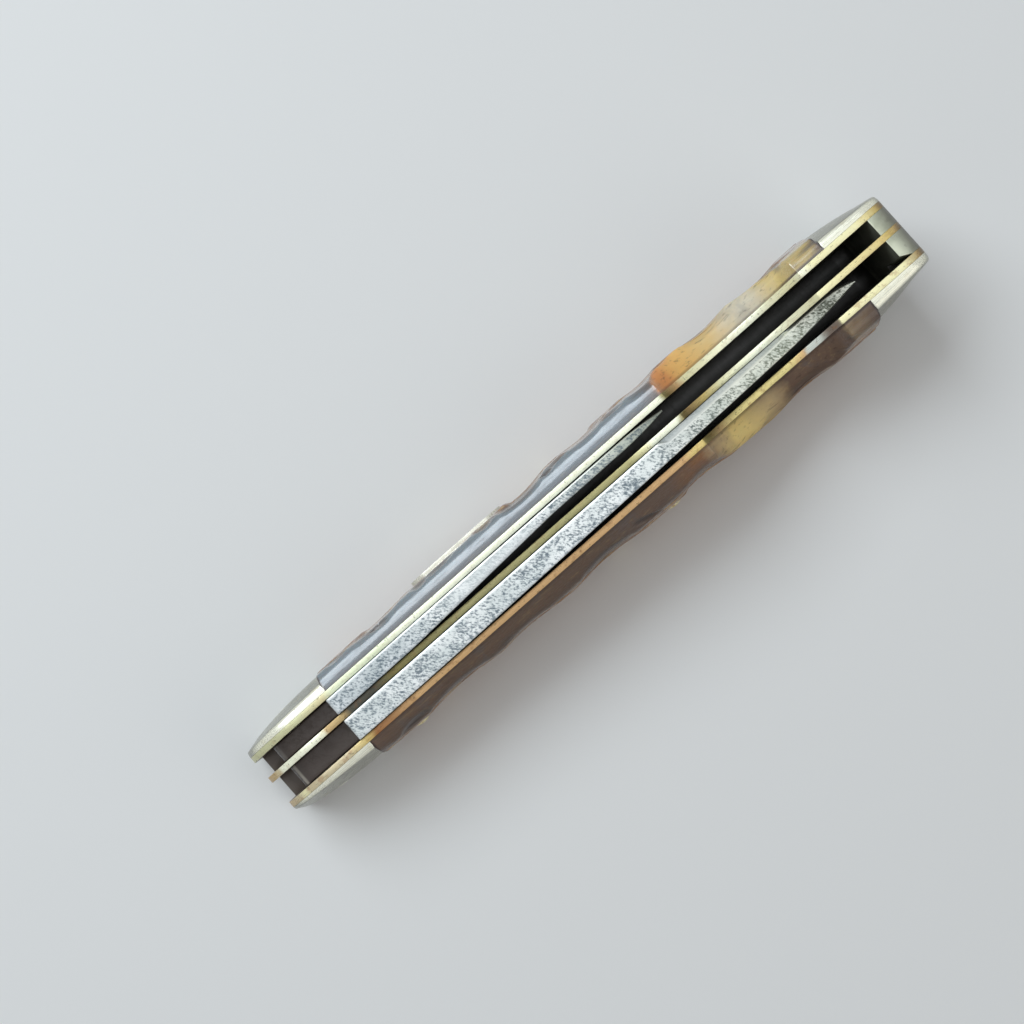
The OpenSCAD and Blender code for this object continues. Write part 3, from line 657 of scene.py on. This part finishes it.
# A painted glint on the tang's rounded end, fainter on the pen blade.
corner_start = between(tree, reach, -tang_half + 0.45, -tang_half + 0.65)
corner_end = between(tree, reach, -tang_half + 1.05, -tang_half + 0.8)
weaker_on_pen = between(tree, y, 0.3 * mm, -0.1 * mm, 0.25, 1.0)
tang_corner_glint = times(tree, times(tree, corner_start, corner_end), weaker_on_pen)
tang_colour = tint(tree, tang_corner_glint, rgb(0.30, 0.26, 0.235), rgb(0.62, 0.59, 0.54))
colour = tint(tree, tang_shade_and_stain, colour, tang_colour)
bare = times(tree, between(tree, amount, 0, 1, 0.55, 0.4), between(tree, tang_shade_and_stain, 0, 1, 1.0, 0.35))
wire(
    tree, shader, Base_Color=colour, Metallic=bare,
    Roughness=between(tree, amount, 0, 0.8, 0.30, 0.55),
)
relief(tree, shader, reckon(tree, "SUBTRACT", times(tree, hone_lines, 0.25), amount), 0.012 * mm, 0.5)

master_low, master_high = (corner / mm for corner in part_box("blade_master"))
master_y0, master_y1 = master_low[1], master_high[1]
master_tip_x = master_high[0]
master_tip_drop = 7.2
master_tip_z = pivot_z - master_tip_drop
master_length = (master_tip_x - pivot_x + master_tip_z * math.sin(closed_rise)) / math.cos(closed_rise)
clip_length = 25.5
clip_sag = 0.9
swedge_start = 9.65
swedge_run = 1.3
swedge_end = 29.0
swedge_fade = 4.5
swedge_depth = 0.82
swedge_height = 0.42
master_nick = (34.0, 1.9, 16.0, 0.45, 1.0)
master_grind = 8.2
master_taper, master_taper_length, master_taper_run = 0.72, 57.0, 44.0
master_point_inset = 0.85
belly_length = 20.0
belly_x = master_tip_x - belly_length
belly_pull = belly_x + belly_length * 2 / 3

master_upper = np.concatenate([
    tang_end, shoulder,
    bend((master_length - clip_length, pivot_z),
        (master_length - clip_length / 2, pivot_z - master_tip_drop / 2 - clip_sag),
        (master_length, master_tip_z)),
])
edge_x = pivot_x + kick_reach + choil_length
tip_in_handle = np.array(to_handle(master_length, master_tip_z))
master_lower = np.concatenate([tang_under, to_blade(np.concatenate([
    [(edge_x, master_edge(edge_x))],
    bend((belly_x, master_edge(belly_x)), (belly_pull, master_edge(belly_pull)), tip_in_handle),
]))])


def master_faces(x, z, reach, top, bottom):
    """The pile face and the mark face of the master blade."""
    point_y = master_y1 - master_point_inset
    taper = np.clip((x - (master_tip_x - master_taper_length)) / master_taper_run, 0, None)
    pile = master_y0 + master_taper * taper + 0.6 * near_tip(x, master_tip_x, 10) ** 2
    mark = master_y1 - 0.7 * near_tip(x, master_tip_x, 4) ** 2
    above = height_in_blade(x, z)
    swedge = swedge_depth * smooth(x, swedge_start, swedge_start + swedge_run)
    swedge = swedge * np.interp(x, (swedge_start, swedge_end - swedge_fade, swedge_end), (1, 0.7, 0.25))
    mark = mark - swedge * np.clip(1 - (top - above) / swedge_height, 0, 1)
    middle = np.interp(x, (edge_x, master_tip_x), ((master_y0 + master_y1) / 2, point_y))
    half = ground(above - bottom, top - bottom, reach, (master_y1 - master_y0) / 2, master_grind)
    return cut_back(pile, mark, middle, half, nail_nick(reach, above, master_nick))


nick_reaches = np.arange(28, 40, 0.1)
master = forge("master_blade_clip_point", "blade_master", master_upper, master_lower, master_faces,
    nick_reaches, master_nick, lambda reach: spine_corner + 0 * reach)
master.data.materials.append(blade_steel)
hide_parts("blade_master")
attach(master, "master_blade")

pen_low, pen_high = (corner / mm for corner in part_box("blade_pen"))
pen_y0, pen_y1 = pen_low[1], pen_high[1]
pen_length, pen_width, pen_tip_rise = 44.0, 7.6, 4.4
pen_reach = shoulder_reach + pen_length
pen_edge = pivot_z - pen_width
pen_tip = (pen_reach, pen_edge + pen_tip_rise)
pen_tip_x = pen_high[0]
pen_nick = (32.0, 1.9, 16.0, 0.45, 1.0)
pen_grind = 6.6
pen_taper, pen_taper_length, pen_taper_run = 0.85, 34.5, 19.6
pen_point_inset = 1.25
pen_spine_fall = 14.0
pen_belly, pen_belly_pull = 12.0, 2.4
pen_upper = np.concatenate([
    tang_end, shoulder,
    bend((pen_reach - pen_spine_fall, pivot_z), (pen_reach - pen_spine_fall / 3, pivot_z), pen_tip),
])
pen_lower = np.concatenate([
    tang_under, [(kick_reach + choil_length, pen_edge)],
    bend((pen_reach - pen_belly, pen_edge), (pen_reach - pen_belly_pull, pen_edge), pen_tip),
])


def pen_faces(x, z, reach, top, bottom):
    """The pile face and the mark face of the pen blade."""
    taper = np.clip((x - (pen_tip_x - pen_taper_length)) / pen_taper_run, 0, 1)
    pile = pen_y0 + pen_taper * taper + 0.42 * near_tip(x, pen_tip_x, 6) ** 2
    mark = pen_y1 - np.interp(x, (-20, 10), (0, 0.14)) - 0.3 * near_tip(x, pen_tip_x, 5) ** 2
    above = height_in_blade(x, z)
    middle_ends = ((pen_y0 + pen_y1) / 2, pen_y0 + pen_point_inset)
    middle = np.interp(x, (pivot_x + plunge_start, pen_tip_x), middle_ends)
    half = ground(above - bottom, top - bottom, reach, (pen_y1 - pen_y0) / 2, pen_grind)
    return cut_back(pile, mark, middle, half, nail_nick(reach, above, pen_nick))


def pen_pile_round(reach):
    """The pen blade's spine is rubbed round on the pile side, more towards the middle of its length."""
    return np.interp(reach, (12, 30, 44, 50), (spine_corner, 0.38, 0.30, 0.10))


pen = forge("pen_blade", "blade_pen", pen_upper, pen_lower, pen_faces,
    nick_reaches - 2, pen_nick, pen_pile_round)
pen.data.materials.append(blade_steel)
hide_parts("blade_pen")
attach(pen, "pen_blade")


# Bolsters, pivot pin and butt pin
# Cast nickel silver, soldered to the outer liners at both ends, domed and ground with them, and worn
# round at the edges. The pins are headed over and ground flush, so that only faint rings show.
front_height, rear_height = 10.8, 15.2
nose_radius, nose_corner = 7.0, 1.0
butt_top_radius, butt_back_radius = 3.0, 6.5
nose_x, butt_x = handle_front / mm, handle_rear / mm
nose_top_x, butt_top_x = nose_x + nose_radius, butt_x - butt_top_radius
mid_slope = (rear_height - front_height) / 2 / (butt_top_x - nose_top_x)
dome_radius = 30.0
front_thickness, rear_thickness = 1.8, 2.35
front_plan_radius, rear_plan_radius = 65.0, 42.0
rear_dome_inset = 10.7
joint_inset = 0.2
butt_pin_radius = 0.8
hole_gap = 0.02
liner_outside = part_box("scale_mark")[0][1] / mm


def quarter(distance, radius):
    """How far a rounded corner falls at a distance before its end."""
    return radius - np.sqrt(radius ** 2 - np.clip(radius - distance, 0, radius) ** 2)


def well_edge(x):
    """Height of the handle's upper edge, which rises to the butt and is rounded at both ends."""
    swell = front_height + (rear_height - front_height) * smooth(x, nose_top_x, butt_top_x)
    return swell - quarter(x - nose_x, nose_radius) - quarter(butt_x - x, butt_top_radius)


def back_edge(x):
    """Height of the flat back, which rises only at its rounded ends."""
    return quarter(x - nose_x, nose_corner) + quarter(butt_x - x, butt_back_radius)


def mid_height(x):
    """Height of the line along which the sides stand out most."""
    return front_height / 2 + mid_slope * (x - nose_top_x)


def bolster_face(thickest_x, thickness, plan_radius):
    """The outer face of a bolster, domed both ways, as a function of the place."""
    tilt = math.atan(mid_slope)

    def face(x, z):
        right, up = x - thickest_x, z - mid_height(thickest_x)
        lengthwise = right * math.cos(tilt) + up * math.sin(tilt)
        above_middle = up * math.cos(tilt) - right * math.sin(tilt)
        rim = plan_radius - dome_radius + np.sqrt(dome_radius ** 2 - above_middle ** 2)
        return liner_outside + thickness - plan_radius + np.sqrt(rim ** 2 - lengthwise ** 2)

    return face


lean_height = 4.5
foot_radius = 0.45


def cover(
    name, side, x, top, face, end_rounds, edge_fall=0.05, edge_drop=0.6,
    lands=None, hollows=None, waves=None,
):
    """A bolster or a scale, made of cross-sections from its front end to its rear one. lands gives the
    width of a bolster's flat upper edge at both ends, towards which its side leans. hollows gives the
    depth of a scale's gouges, which hold dye, and waves that of its worn shapes, which don't."""
    if lands:
        domed = face
        lean = liner_outside + np.interp(x, (x[0, 0], x[-1, 0]), lands) - domed(x, top)

        def face(x, z):
            return domed(x, z) + lean * smooth(z, top - lean_height, top)

    bottom = back_edge(x)
    drop = np.minimum(edge_drop, widest_round * (top - bottom))
    fall = np.minimum(edge_fall, 0.2 * drop)
    foot_round = np.minimum(foot_radius, 0.2 * (top - bottom))
    turn = np.linspace(0, 1, 15)[None, :]
    edge_y = drawn(turn, liner_outside, face(x, top - fall), face(x, top - drop))
    edge_z = drawn(turn, top, top - fall, top - drop)
    side_z = top - drop - (top - drop - bottom - foot_round) * np.linspace(0, 1, 66)[None, 1:]
    side_y = face(x, side_z)
    foot = np.linspace(0, 1, 7)[None, 1:]
    foot_y = drawn(foot, side_y[:, -1:], face(x, bottom), face(x, bottom) - foot_round)
    foot_z = drawn(foot, bottom + foot_round, bottom, bottom)
    y = np.concatenate([edge_y, side_y, foot_y, liner_outside + 0 * x], 1)
    z = np.concatenate([edge_z, side_z, foot_z, bottom], 1)
    outward = np.clip((y - liner_outside) / (face(x, z) - liner_outside), 0, 1)
    end_fall = quarter(x - x[0], end_rounds[0]) + quarter(x[-1] - x, end_rounds[1])
    y = y - end_fall * outward
    deep = 0 * z
    if hollows:
        cheek = smooth(outward, 0.45, 1.0) * smooth(z - bottom, 0.0, 0.8)
        deep = hollows(x, z) * cheek
        taken = deep + waves(x, z) * cheek
        y = y - taken
        z = z - 0.35 * taken * smooth(outward, 0.5, 0.9) * (z > top - drop)
    rings = np.stack([x + 0 * z, side * y, z], -1)
    below = top - z
    if side < 0:
        rings, deep, below = rings[:, ::-1], deep[:, ::-1], below[:, ::-1]
    piece = closed_tube(name, rings)
    paint_map(piece, "hollow", deep)
    paint_map(piece, "below_edge", below)
    return piece


def drill_side(piece, side, place, pin_radius):
    """Makes a pin's hole through a piece on one side of the knife."""
    outer = side * (liner_outside + 4)
    drill(piece, place, pin_radius + hole_gap, *sorted((0, outer)))


nickel_silver, tree, shader = surface("nickel_silver", Metallic=0.55)
where = places(tree)
clouds = grain(tree, where, 170, 5, 0.6)
colour = tint(tree, between(tree, clouds, 0.35, 0.68), rgb(0.70, 0.695, 0.65), rgb(0.59, 0.585, 0.545))
# Faces that turn upwards are painted paler, as a painted sheen from the light above.
painted_sheen = between(tree, facing(tree, "Z"), 0.45, 0.75)
colour = tint(tree, painted_sheen, colour, rgb(0.90, 0.89, 0.81))
brassy = between(tree, grain(tree, where, 900, 3), 0.56, 0.74, 0.0, 0.3)
colour = tint(tree, brassy, colour, rgb(0.76, 0.71, 0.54))
scratches = grain(tree, stretched(tree, where, 0.10, 2.2, 1.6), 6000, 3, 0.7)
marks = between(tree, scratches, 0.60, 0.74, 0.0, 0.15)
colour = tint(tree, marks, colour, rgb(0.40, 0.40, 0.36))
wire(tree, shader, Base_Color=colour, Roughness=between(tree, scratches, 0.35, 0.7, 0.22, 0.42))
relief(tree, shader, scratches, 0.004 * mm, 0.5)
front_joint, rear_joint = (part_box("scale_mark")[end][0] / mm for end in (0, 1))
towards_end = np.linspace(0, 1, 70)[:, None] ** 2
towards_joint = np.linspace(0, joint_inset, 6)[:, None]
front_stations = np.unique(np.concatenate([
    nose_x + (front_joint - nose_x) * towards_end, front_joint - towards_joint,
]))[:, None]
rear_stations = np.unique(np.concatenate([
    butt_x - (butt_x - rear_joint) * towards_end, rear_joint + towards_joint,
]))[:, None]
front_face = bolster_face(front_joint, front_thickness, front_plan_radius)
rear_face = bolster_face(butt_x - rear_dome_inset, rear_thickness, rear_plan_radius)
butt_pin_place = (butt_x - 1.45, 8.0)
for side, name, front_lands, rear_lands in (
    (1, "mark", (0.6, 0.9), (0.9, 0.6)), (-1, "pile", (0.3, 0.8), (1.1, 0.75)),
):
    front = cover("front_bolster_" + name, side, front_stations, well_edge(front_stations),
        front_face, (0.5, 0.15), lands=front_lands)
    rear = cover("rear_bolster_" + name, side, rear_stations, well_edge(rear_stations),
        rear_face, (0.15, 0.4), lands=rear_lands)
    drill_side(front, side, (pivot_x, pivot_z), pivot_pin_radius)
    drill_side(rear, side, butt_pin_place, butt_pin_radius)
    for piece, node in ((front, "bolster_front_" + name), (rear, "bolster_rear_" + name)):
        piece.data.materials.append(nickel_silver)
        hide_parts(node)
        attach(piece, "handle")
dress("pivot_pin", nickel_silver)
dress("butt_pin", nickel_silver)


# Scales
# Honey-coloured bone, cut with rows of shallow gouges by hand, dyed, and polished until only the
# hollows stay brown and the cheeks are worn wavy. Each is pinned to its liner, and the notch is
# cut through both.
scale_peak_x = 16.0
scale_front_thickness, scale_peak_thickness = 2.05, 2.6
scale_pin_radius, center_pin_radius = 0.85, 0.8
pin_flat = 0.9
valley_half_width, valley_slant = 2.4, 0.05
wave_half_width, wave_stretch, wave_bluntness = 5.6, 1.25, 1.4
notch_x, notch_width, notch_depth = 21.85, 17.65, 4.5
notch_radius = (notch_width ** 2 / 4 + notch_depth ** 2) / (2 * notch_depth)
notch_ends = (notch_x - notch_width / 2, notch_x + notch_width / 2)


def notched_edge(x):
    """Height of a scale's upper edge, with the notch taken out."""
    center_z = well_edge(notch_x) - notch_depth + notch_radius
    inside = np.clip(notch_radius ** 2 - (x - notch_x) ** 2, 0, None)
    return np.minimum(well_edge(x), np.where(inside > 0, center_z - np.sqrt(inside), well_edge(x)))


def scale_face(x, z, thick_rear):
    """A scale's outer face before it is jigged."""
    thicknesses = (scale_front_thickness, scale_peak_thickness, thick_rear)
    thickness = np.interp(x, (front_joint, scale_peak_x, rear_joint), thicknesses)
    return liner_outside + thickness - dome_radius + np.sqrt(dome_radius ** 2 - (z - mid_height(x)) ** 2)


def gouge(x, z, cuts, kept_flat, bluntness=0.85):
    """Depth of the gouges at a place. Each has a middle, half its length and width, a depth and a slant,
    and all fade out round the pins and the shield."""
    depth = np.zeros(np.broadcast(x, z).shape)
    for cut_x, cut_z, half_length, half_width, deep, slant in cuts:
        c, s = math.cos(slant), math.sin(slant)
        lengthwise = ((x - cut_x) * c + (z - cut_z) * s) / half_length
        sideways = ((z - cut_z) * c - (x - cut_x) * s) / half_width
        bowl = np.clip(1 - lengthwise ** 2 - sideways ** 2, 0, None)
        depth = np.maximum(depth, deep * bowl ** bluntness)
    for flat_x, flat_z, half_length, half_width in kept_flat:
        away_x = np.maximum(np.abs(x - flat_x) - half_length, 0)
        away_z = np.maximum(np.abs(z - flat_z) - half_width, 0)
        depth = depth * smooth(np.hypot(away_x, away_z), 0.3, 1.2)
    return depth


def jig_rows(seed, valleys):
    """Rough rows of hand-cut gouges, and the deep valleys that the photograph shows at the upper edge."""
    chance = random.Random(seed)
    cuts = [
        (x, well_edge(x) - below, half, valley_half_width, deep, valley_slant)
        for x, below, half, deep in valleys
    ]
    rows = 7
    for row in range(rows):
        x = front_joint - chance.uniform(0, 3)
        while x < rear_joint + 2:
            share = (row + 0.5 + chance.uniform(-0.45, 0.45)) / rows
            half = chance.uniform(1.0, 2.9)
            cuts.append((x, share * well_edge(x), half, chance.uniform(0.35, 0.85),
                chance.uniform(0.10, 0.36), chance.uniform(-0.30, 0.30)))
            x += half * chance.uniform(1.5, 3.0)
    return cuts


honey = rgb(0.60, 0.42, 0.22)
deep_honey = rgb(0.50, 0.33, 0.17)
amber = rgb(0.82, 0.53, 0.27)
golden_amber = rgb(0.90, 0.70, 0.38)
tan_bone = rgb(0.87, 0.73, 0.46)
beige = rgb(0.83, 0.78, 0.67)
olive_gold = rgb(0.74, 0.64, 0.38)
# Blue-greys that stand in for the window's cool reflection on the polished bone: painted reflection.
sheen_smoke = rgb(0.29, 0.335, 0.37)
dark_sheen_smoke = rgb(0.235, 0.255, 0.28)
painted_sheen_smoke = rgb(0.43, 0.47, 0.49)
worn_gold = rgb(0.89, 0.78, 0.50)
worn_beige = rgb(0.72, 0.62, 0.46)
mauve_brown = rgb(0.37, 0.285, 0.225)
pile_shade_brown = rgb(0.35, 0.265, 0.195)
faded_gold = rgb(0.56, 0.47, 0.35)
dye_brown = rgb(0.20, 0.125, 0.08)


def bone(name, stops, polish, painted_sheen=0.0):
    """Dyed and polished bone, coloured by stops along its upper edge. The last argument says how strong
    a painted cool sheen is where the front part's edge turns to the cheek."""
    material, tree, shader = surface(
        name, IOR=1.54, Specular_IOR_Level=0.8 * polish, Coat_Roughness=0.08,
        Subsurface_Weight=0.1, Subsurface_Scale=0.5 * mm,
    )
    where = places(tree)
    hollow = painted(tree, "hollow")
    below_edge = painted(tree, "below_edge")
    clouds = grain(tree, where, 260, 5, 0.6, 0.6)
    cheek = tint(tree, between(tree, clouds, 0.36, 0.64), deep_honey, honey)
    cheek = tint(tree, between(tree, grain(tree, where, 520, 4), 0.54, 0.70, 0.0, 0.6), cheek, tan_bone)
    edge = along(tree, where, stops, 0.9)
    # Clouds of the painted blue-grey reflection colour over the edge.
    edge = tint(tree, between(tree, clouds, 0.50, 0.70, 0.0, 0.25), edge, sheen_smoke)
    x = component(tree, where, "X")
    out = reckon(tree, "ABSOLUTE", component(tree, where, "Y"))
    # A band of paler blue-grey where the edge turns to the cheek: a painted reflection of the cool window.
    sheen_band = between(tree, out, (liner_outside + 0.75) * mm, (liner_outside + 1.15) * mm)
    sheen_band = times(tree, sheen_band, between(tree, x, 13 * mm, 11 * mm, 0.0, painted_sheen))
    edge = tint(tree, sheen_band, edge, painted_sheen_smoke)
    colour = tint(tree, between(tree, below_edge, 0.9, 3.2), edge, cheek)
    fibres = grain(tree, stretched(tree, where, 0.14, 1.0, 1.0), 2600, 4, 0.65)
    colour = tint(tree, between(tree, fibres, 0.54, 0.72, 0.0, 0.5), colour, dye_brown)
    on_cheek = between(tree, below_edge, 1.5, 3, 0.1, 0.35)
    pale_fibres = times(tree, between(tree, fibres, 0.46, 0.30), on_cheek)
    colour = tint(tree, pale_fibres, colour, tan_bone)
    in_notch = times(tree, between(tree, x, 13.2 * mm, 14.4 * mm), between(tree, x, 30.7 * mm, 29.5 * mm))
    filed = times(tree, in_notch, between(tree, below_edge, 2.6, 1.2))
    dyed = times(tree, between(tree, hollow, 0.04, 0.26, 0.0, 0.8), between(tree, filed, 0, 1, 1.0, 0.15))
    colour = tint(tree, dyed, colour, dye_brown)
    # Darker along the joints with the bolsters and along the seam with the liner.
    at_front = between(tree, x, (front_joint + 0.3) * mm, (front_joint + 0.12) * mm)
    at_rear = between(tree, x, (rear_joint - 0.3) * mm, (rear_joint - 0.12) * mm)
    seam = between(tree, out, (liner_outside + 0.35) * mm, (liner_outside + 0.1) * mm)
    seam = times(tree, seam, between(tree, x, 28 * mm, 30.5 * mm, 0.45, 0.9))
    dark_joints = reckon(tree, "MAXIMUM", seam, reckon(tree, "MAXIMUM", at_front, at_rear))
    colour = tint(tree, dark_joints, colour, dye_brown)
    bone_roughness = between(tree, fibres, 0.4, 0.75, 0.22, 0.45)
    wire(
        tree, shader, Base_Color=colour, Coat_Weight=between(tree, filed, 0, 1, polish, 0.1 * polish),
        Roughness=reckon(tree, "MAXIMUM", bone_roughness, between(tree, filed, 0, 1, 0.2, 0.6)),
    )
    relief(tree, shader, fibres, 0.02 * mm, 0.5)
    return material


# On the mark side the blue-grey stops before the notch are painted reflection of the cool window on the
# same bone.
mark_bone = bone("bone_mark_side", [
    (-32, sheen_smoke), (-16, dark_sheen_smoke), (0, sheen_smoke), (11, sheen_smoke), (13.1, mauve_brown), (13.9, amber),
    (14.8, amber), (17, golden_amber), (21, tan_bone), (24.5, beige), (26.5, beige), (29.2, worn_gold),
    (31, olive_gold), (33.5, olive_gold), (34.4, mauve_brown),
], 1.0, 1.0)
# The pile side's dark browns before the notch are painted shade on the same bone as the mark side.
pile_bone = bone("bone_pile_side", [
    (-32, mauve_brown), (-28, pile_shade_brown), (0, pile_shade_brown), (8, mauve_brown), (12.6, deep_honey),
    (14.6, worn_beige), (16.4, worn_gold), (18.4, worn_gold), (21.6, worn_beige), (24.4, mauve_brown),
    (30.6, mauve_brown), (31.2, faded_gold), (34, mauve_brown),
], 0.35)
scale_pin_places = [(x, mid_height(x)) for x in (-26.1, 7.85)]
center_pin_place = (0.5, 1.75)
shield_low, shield_high = (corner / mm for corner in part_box("shield"))
shield_flat = (
    (shield_low[0] + shield_high[0]) / 2, (shield_low[2] + shield_high[2]) / 2,
    (shield_high[0] - shield_low[0]) / 2, (shield_high[2] - shield_low[2]) / 2,
)
pin_flats = [(x, z, pin_flat, pin_flat) for x, z in scale_pin_places + [center_pin_place]]
mark_flats = pin_flats + [shield_flat]
scale_stations = np.unique(np.concatenate([
    np.linspace(front_joint, rear_joint, 430),
    front_joint + towards_joint.ravel(), rear_joint - towards_joint.ravel(),
    *(np.linspace(end - 0.6, end + 0.6, 13) for end in notch_ends),
]))[:, None]
mark_valleys = [
    (-23.2, 2.0, 4, 0.22), (-3.4, 2.0, 3.5, 0.5), (5.3, 2.5, 3.0, 0.30), (12.8, 2.0, 2.0, 0.25),
    (21.4, 4.5, 3.2, 0.35), (28.0, 2.2, 3.0, 0.45),
]
pile_valleys = [
    (-20.2, 2.0, 4.5, 0.35), (-11.2, 2.4, 3.5, 0.25), (-0.7, 2.0, 4.0, 0.4), (11.8, 2.5, 3.2, 0.42),
    (25.3, 4.2, 3.5, 0.35),
]
for name, node, side, seed, valleys, flats, thick_rear, finish in (
    ("scale_mark_jigged_bone", "scale_mark", 1, 11, mark_valleys, mark_flats, 2.5, mark_bone),
    ("scale_pile_jigged_bone", "scale_pile", -1, 23, pile_valleys, pin_flats, 2.75, pile_bone),
):
    cuts = jig_rows(seed, valleys)
    worn = [
        (x, mid_height(x), wave_stretch * half, wave_half_width, deep, valley_slant)
        for x, _, half, deep in valleys
    ]
    piece = cover(name, side, scale_stations, notched_edge(scale_stations),
        lambda x, z: scale_face(x, z, thick_rear), (0.25, 0.25), 0.15, 1.15,
        hollows=lambda x, z: gouge(x, z, cuts, flats),
        waves=lambda x, z: gouge(x, z, worn, flats, wave_bluntness))
    for place in scale_pin_places:
        drill_side(piece, side, place, scale_pin_radius)
    drill_side(piece, side, center_pin_place, center_pin_radius)
    piece.data.materials.append(finish)
    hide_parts(node)
    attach(piece, "handle")


# Shield and brass pins
# A plain nickel-silver bar with round ends, let into the mark scale and held by two tiny pins. The
# scale pins are brass wire with small domed heads, and the centre pin holds both springs.
shield_wear = 0.1 * mm
shield_silver, tree, shader = surface("shield_silver", Metallic=0.6)
where = places(tree)
scratches = grain(tree, stretched(tree, where, 0.2, 1.0, 2.0), 4200, 3, 0.7)
dull = between(tree, grain(tree, where, 500, 4), 0.4, 0.7)
colour = tint(tree, dull, rgb(0.84, 0.83, 0.77), rgb(0.78, 0.77, 0.71))
wire(tree, shader, Base_Color=colour, Roughness=between(tree, scratches, 0.3, 0.7, 0.18, 0.40))
relief(tree, shader, scratches, 0.008 * mm, 0.5)
dress("shield", shield_silver, shield_wear)

pin_brass, tree, shader = surface("pin_brass", Metallic=0.6)
where = places(tree)
spots = grain(tree, where, 1900, 3)
colour = tint(tree, between(tree, spots, 0.45, 0.75), rgb(0.93, 0.89, 0.72), tan_brass)
wire(tree, shader, Base_Color=colour, Roughness=between(tree, spots, 0.3, 0.7, 0.25, 0.45))
relief(tree, shader, spots, 0.01 * mm, 0.4)
for node in ("scale_pins_mark", "scale_pins_pile", "spring_center_pin", "shield_pins"):
    dress(node, pin_brass)
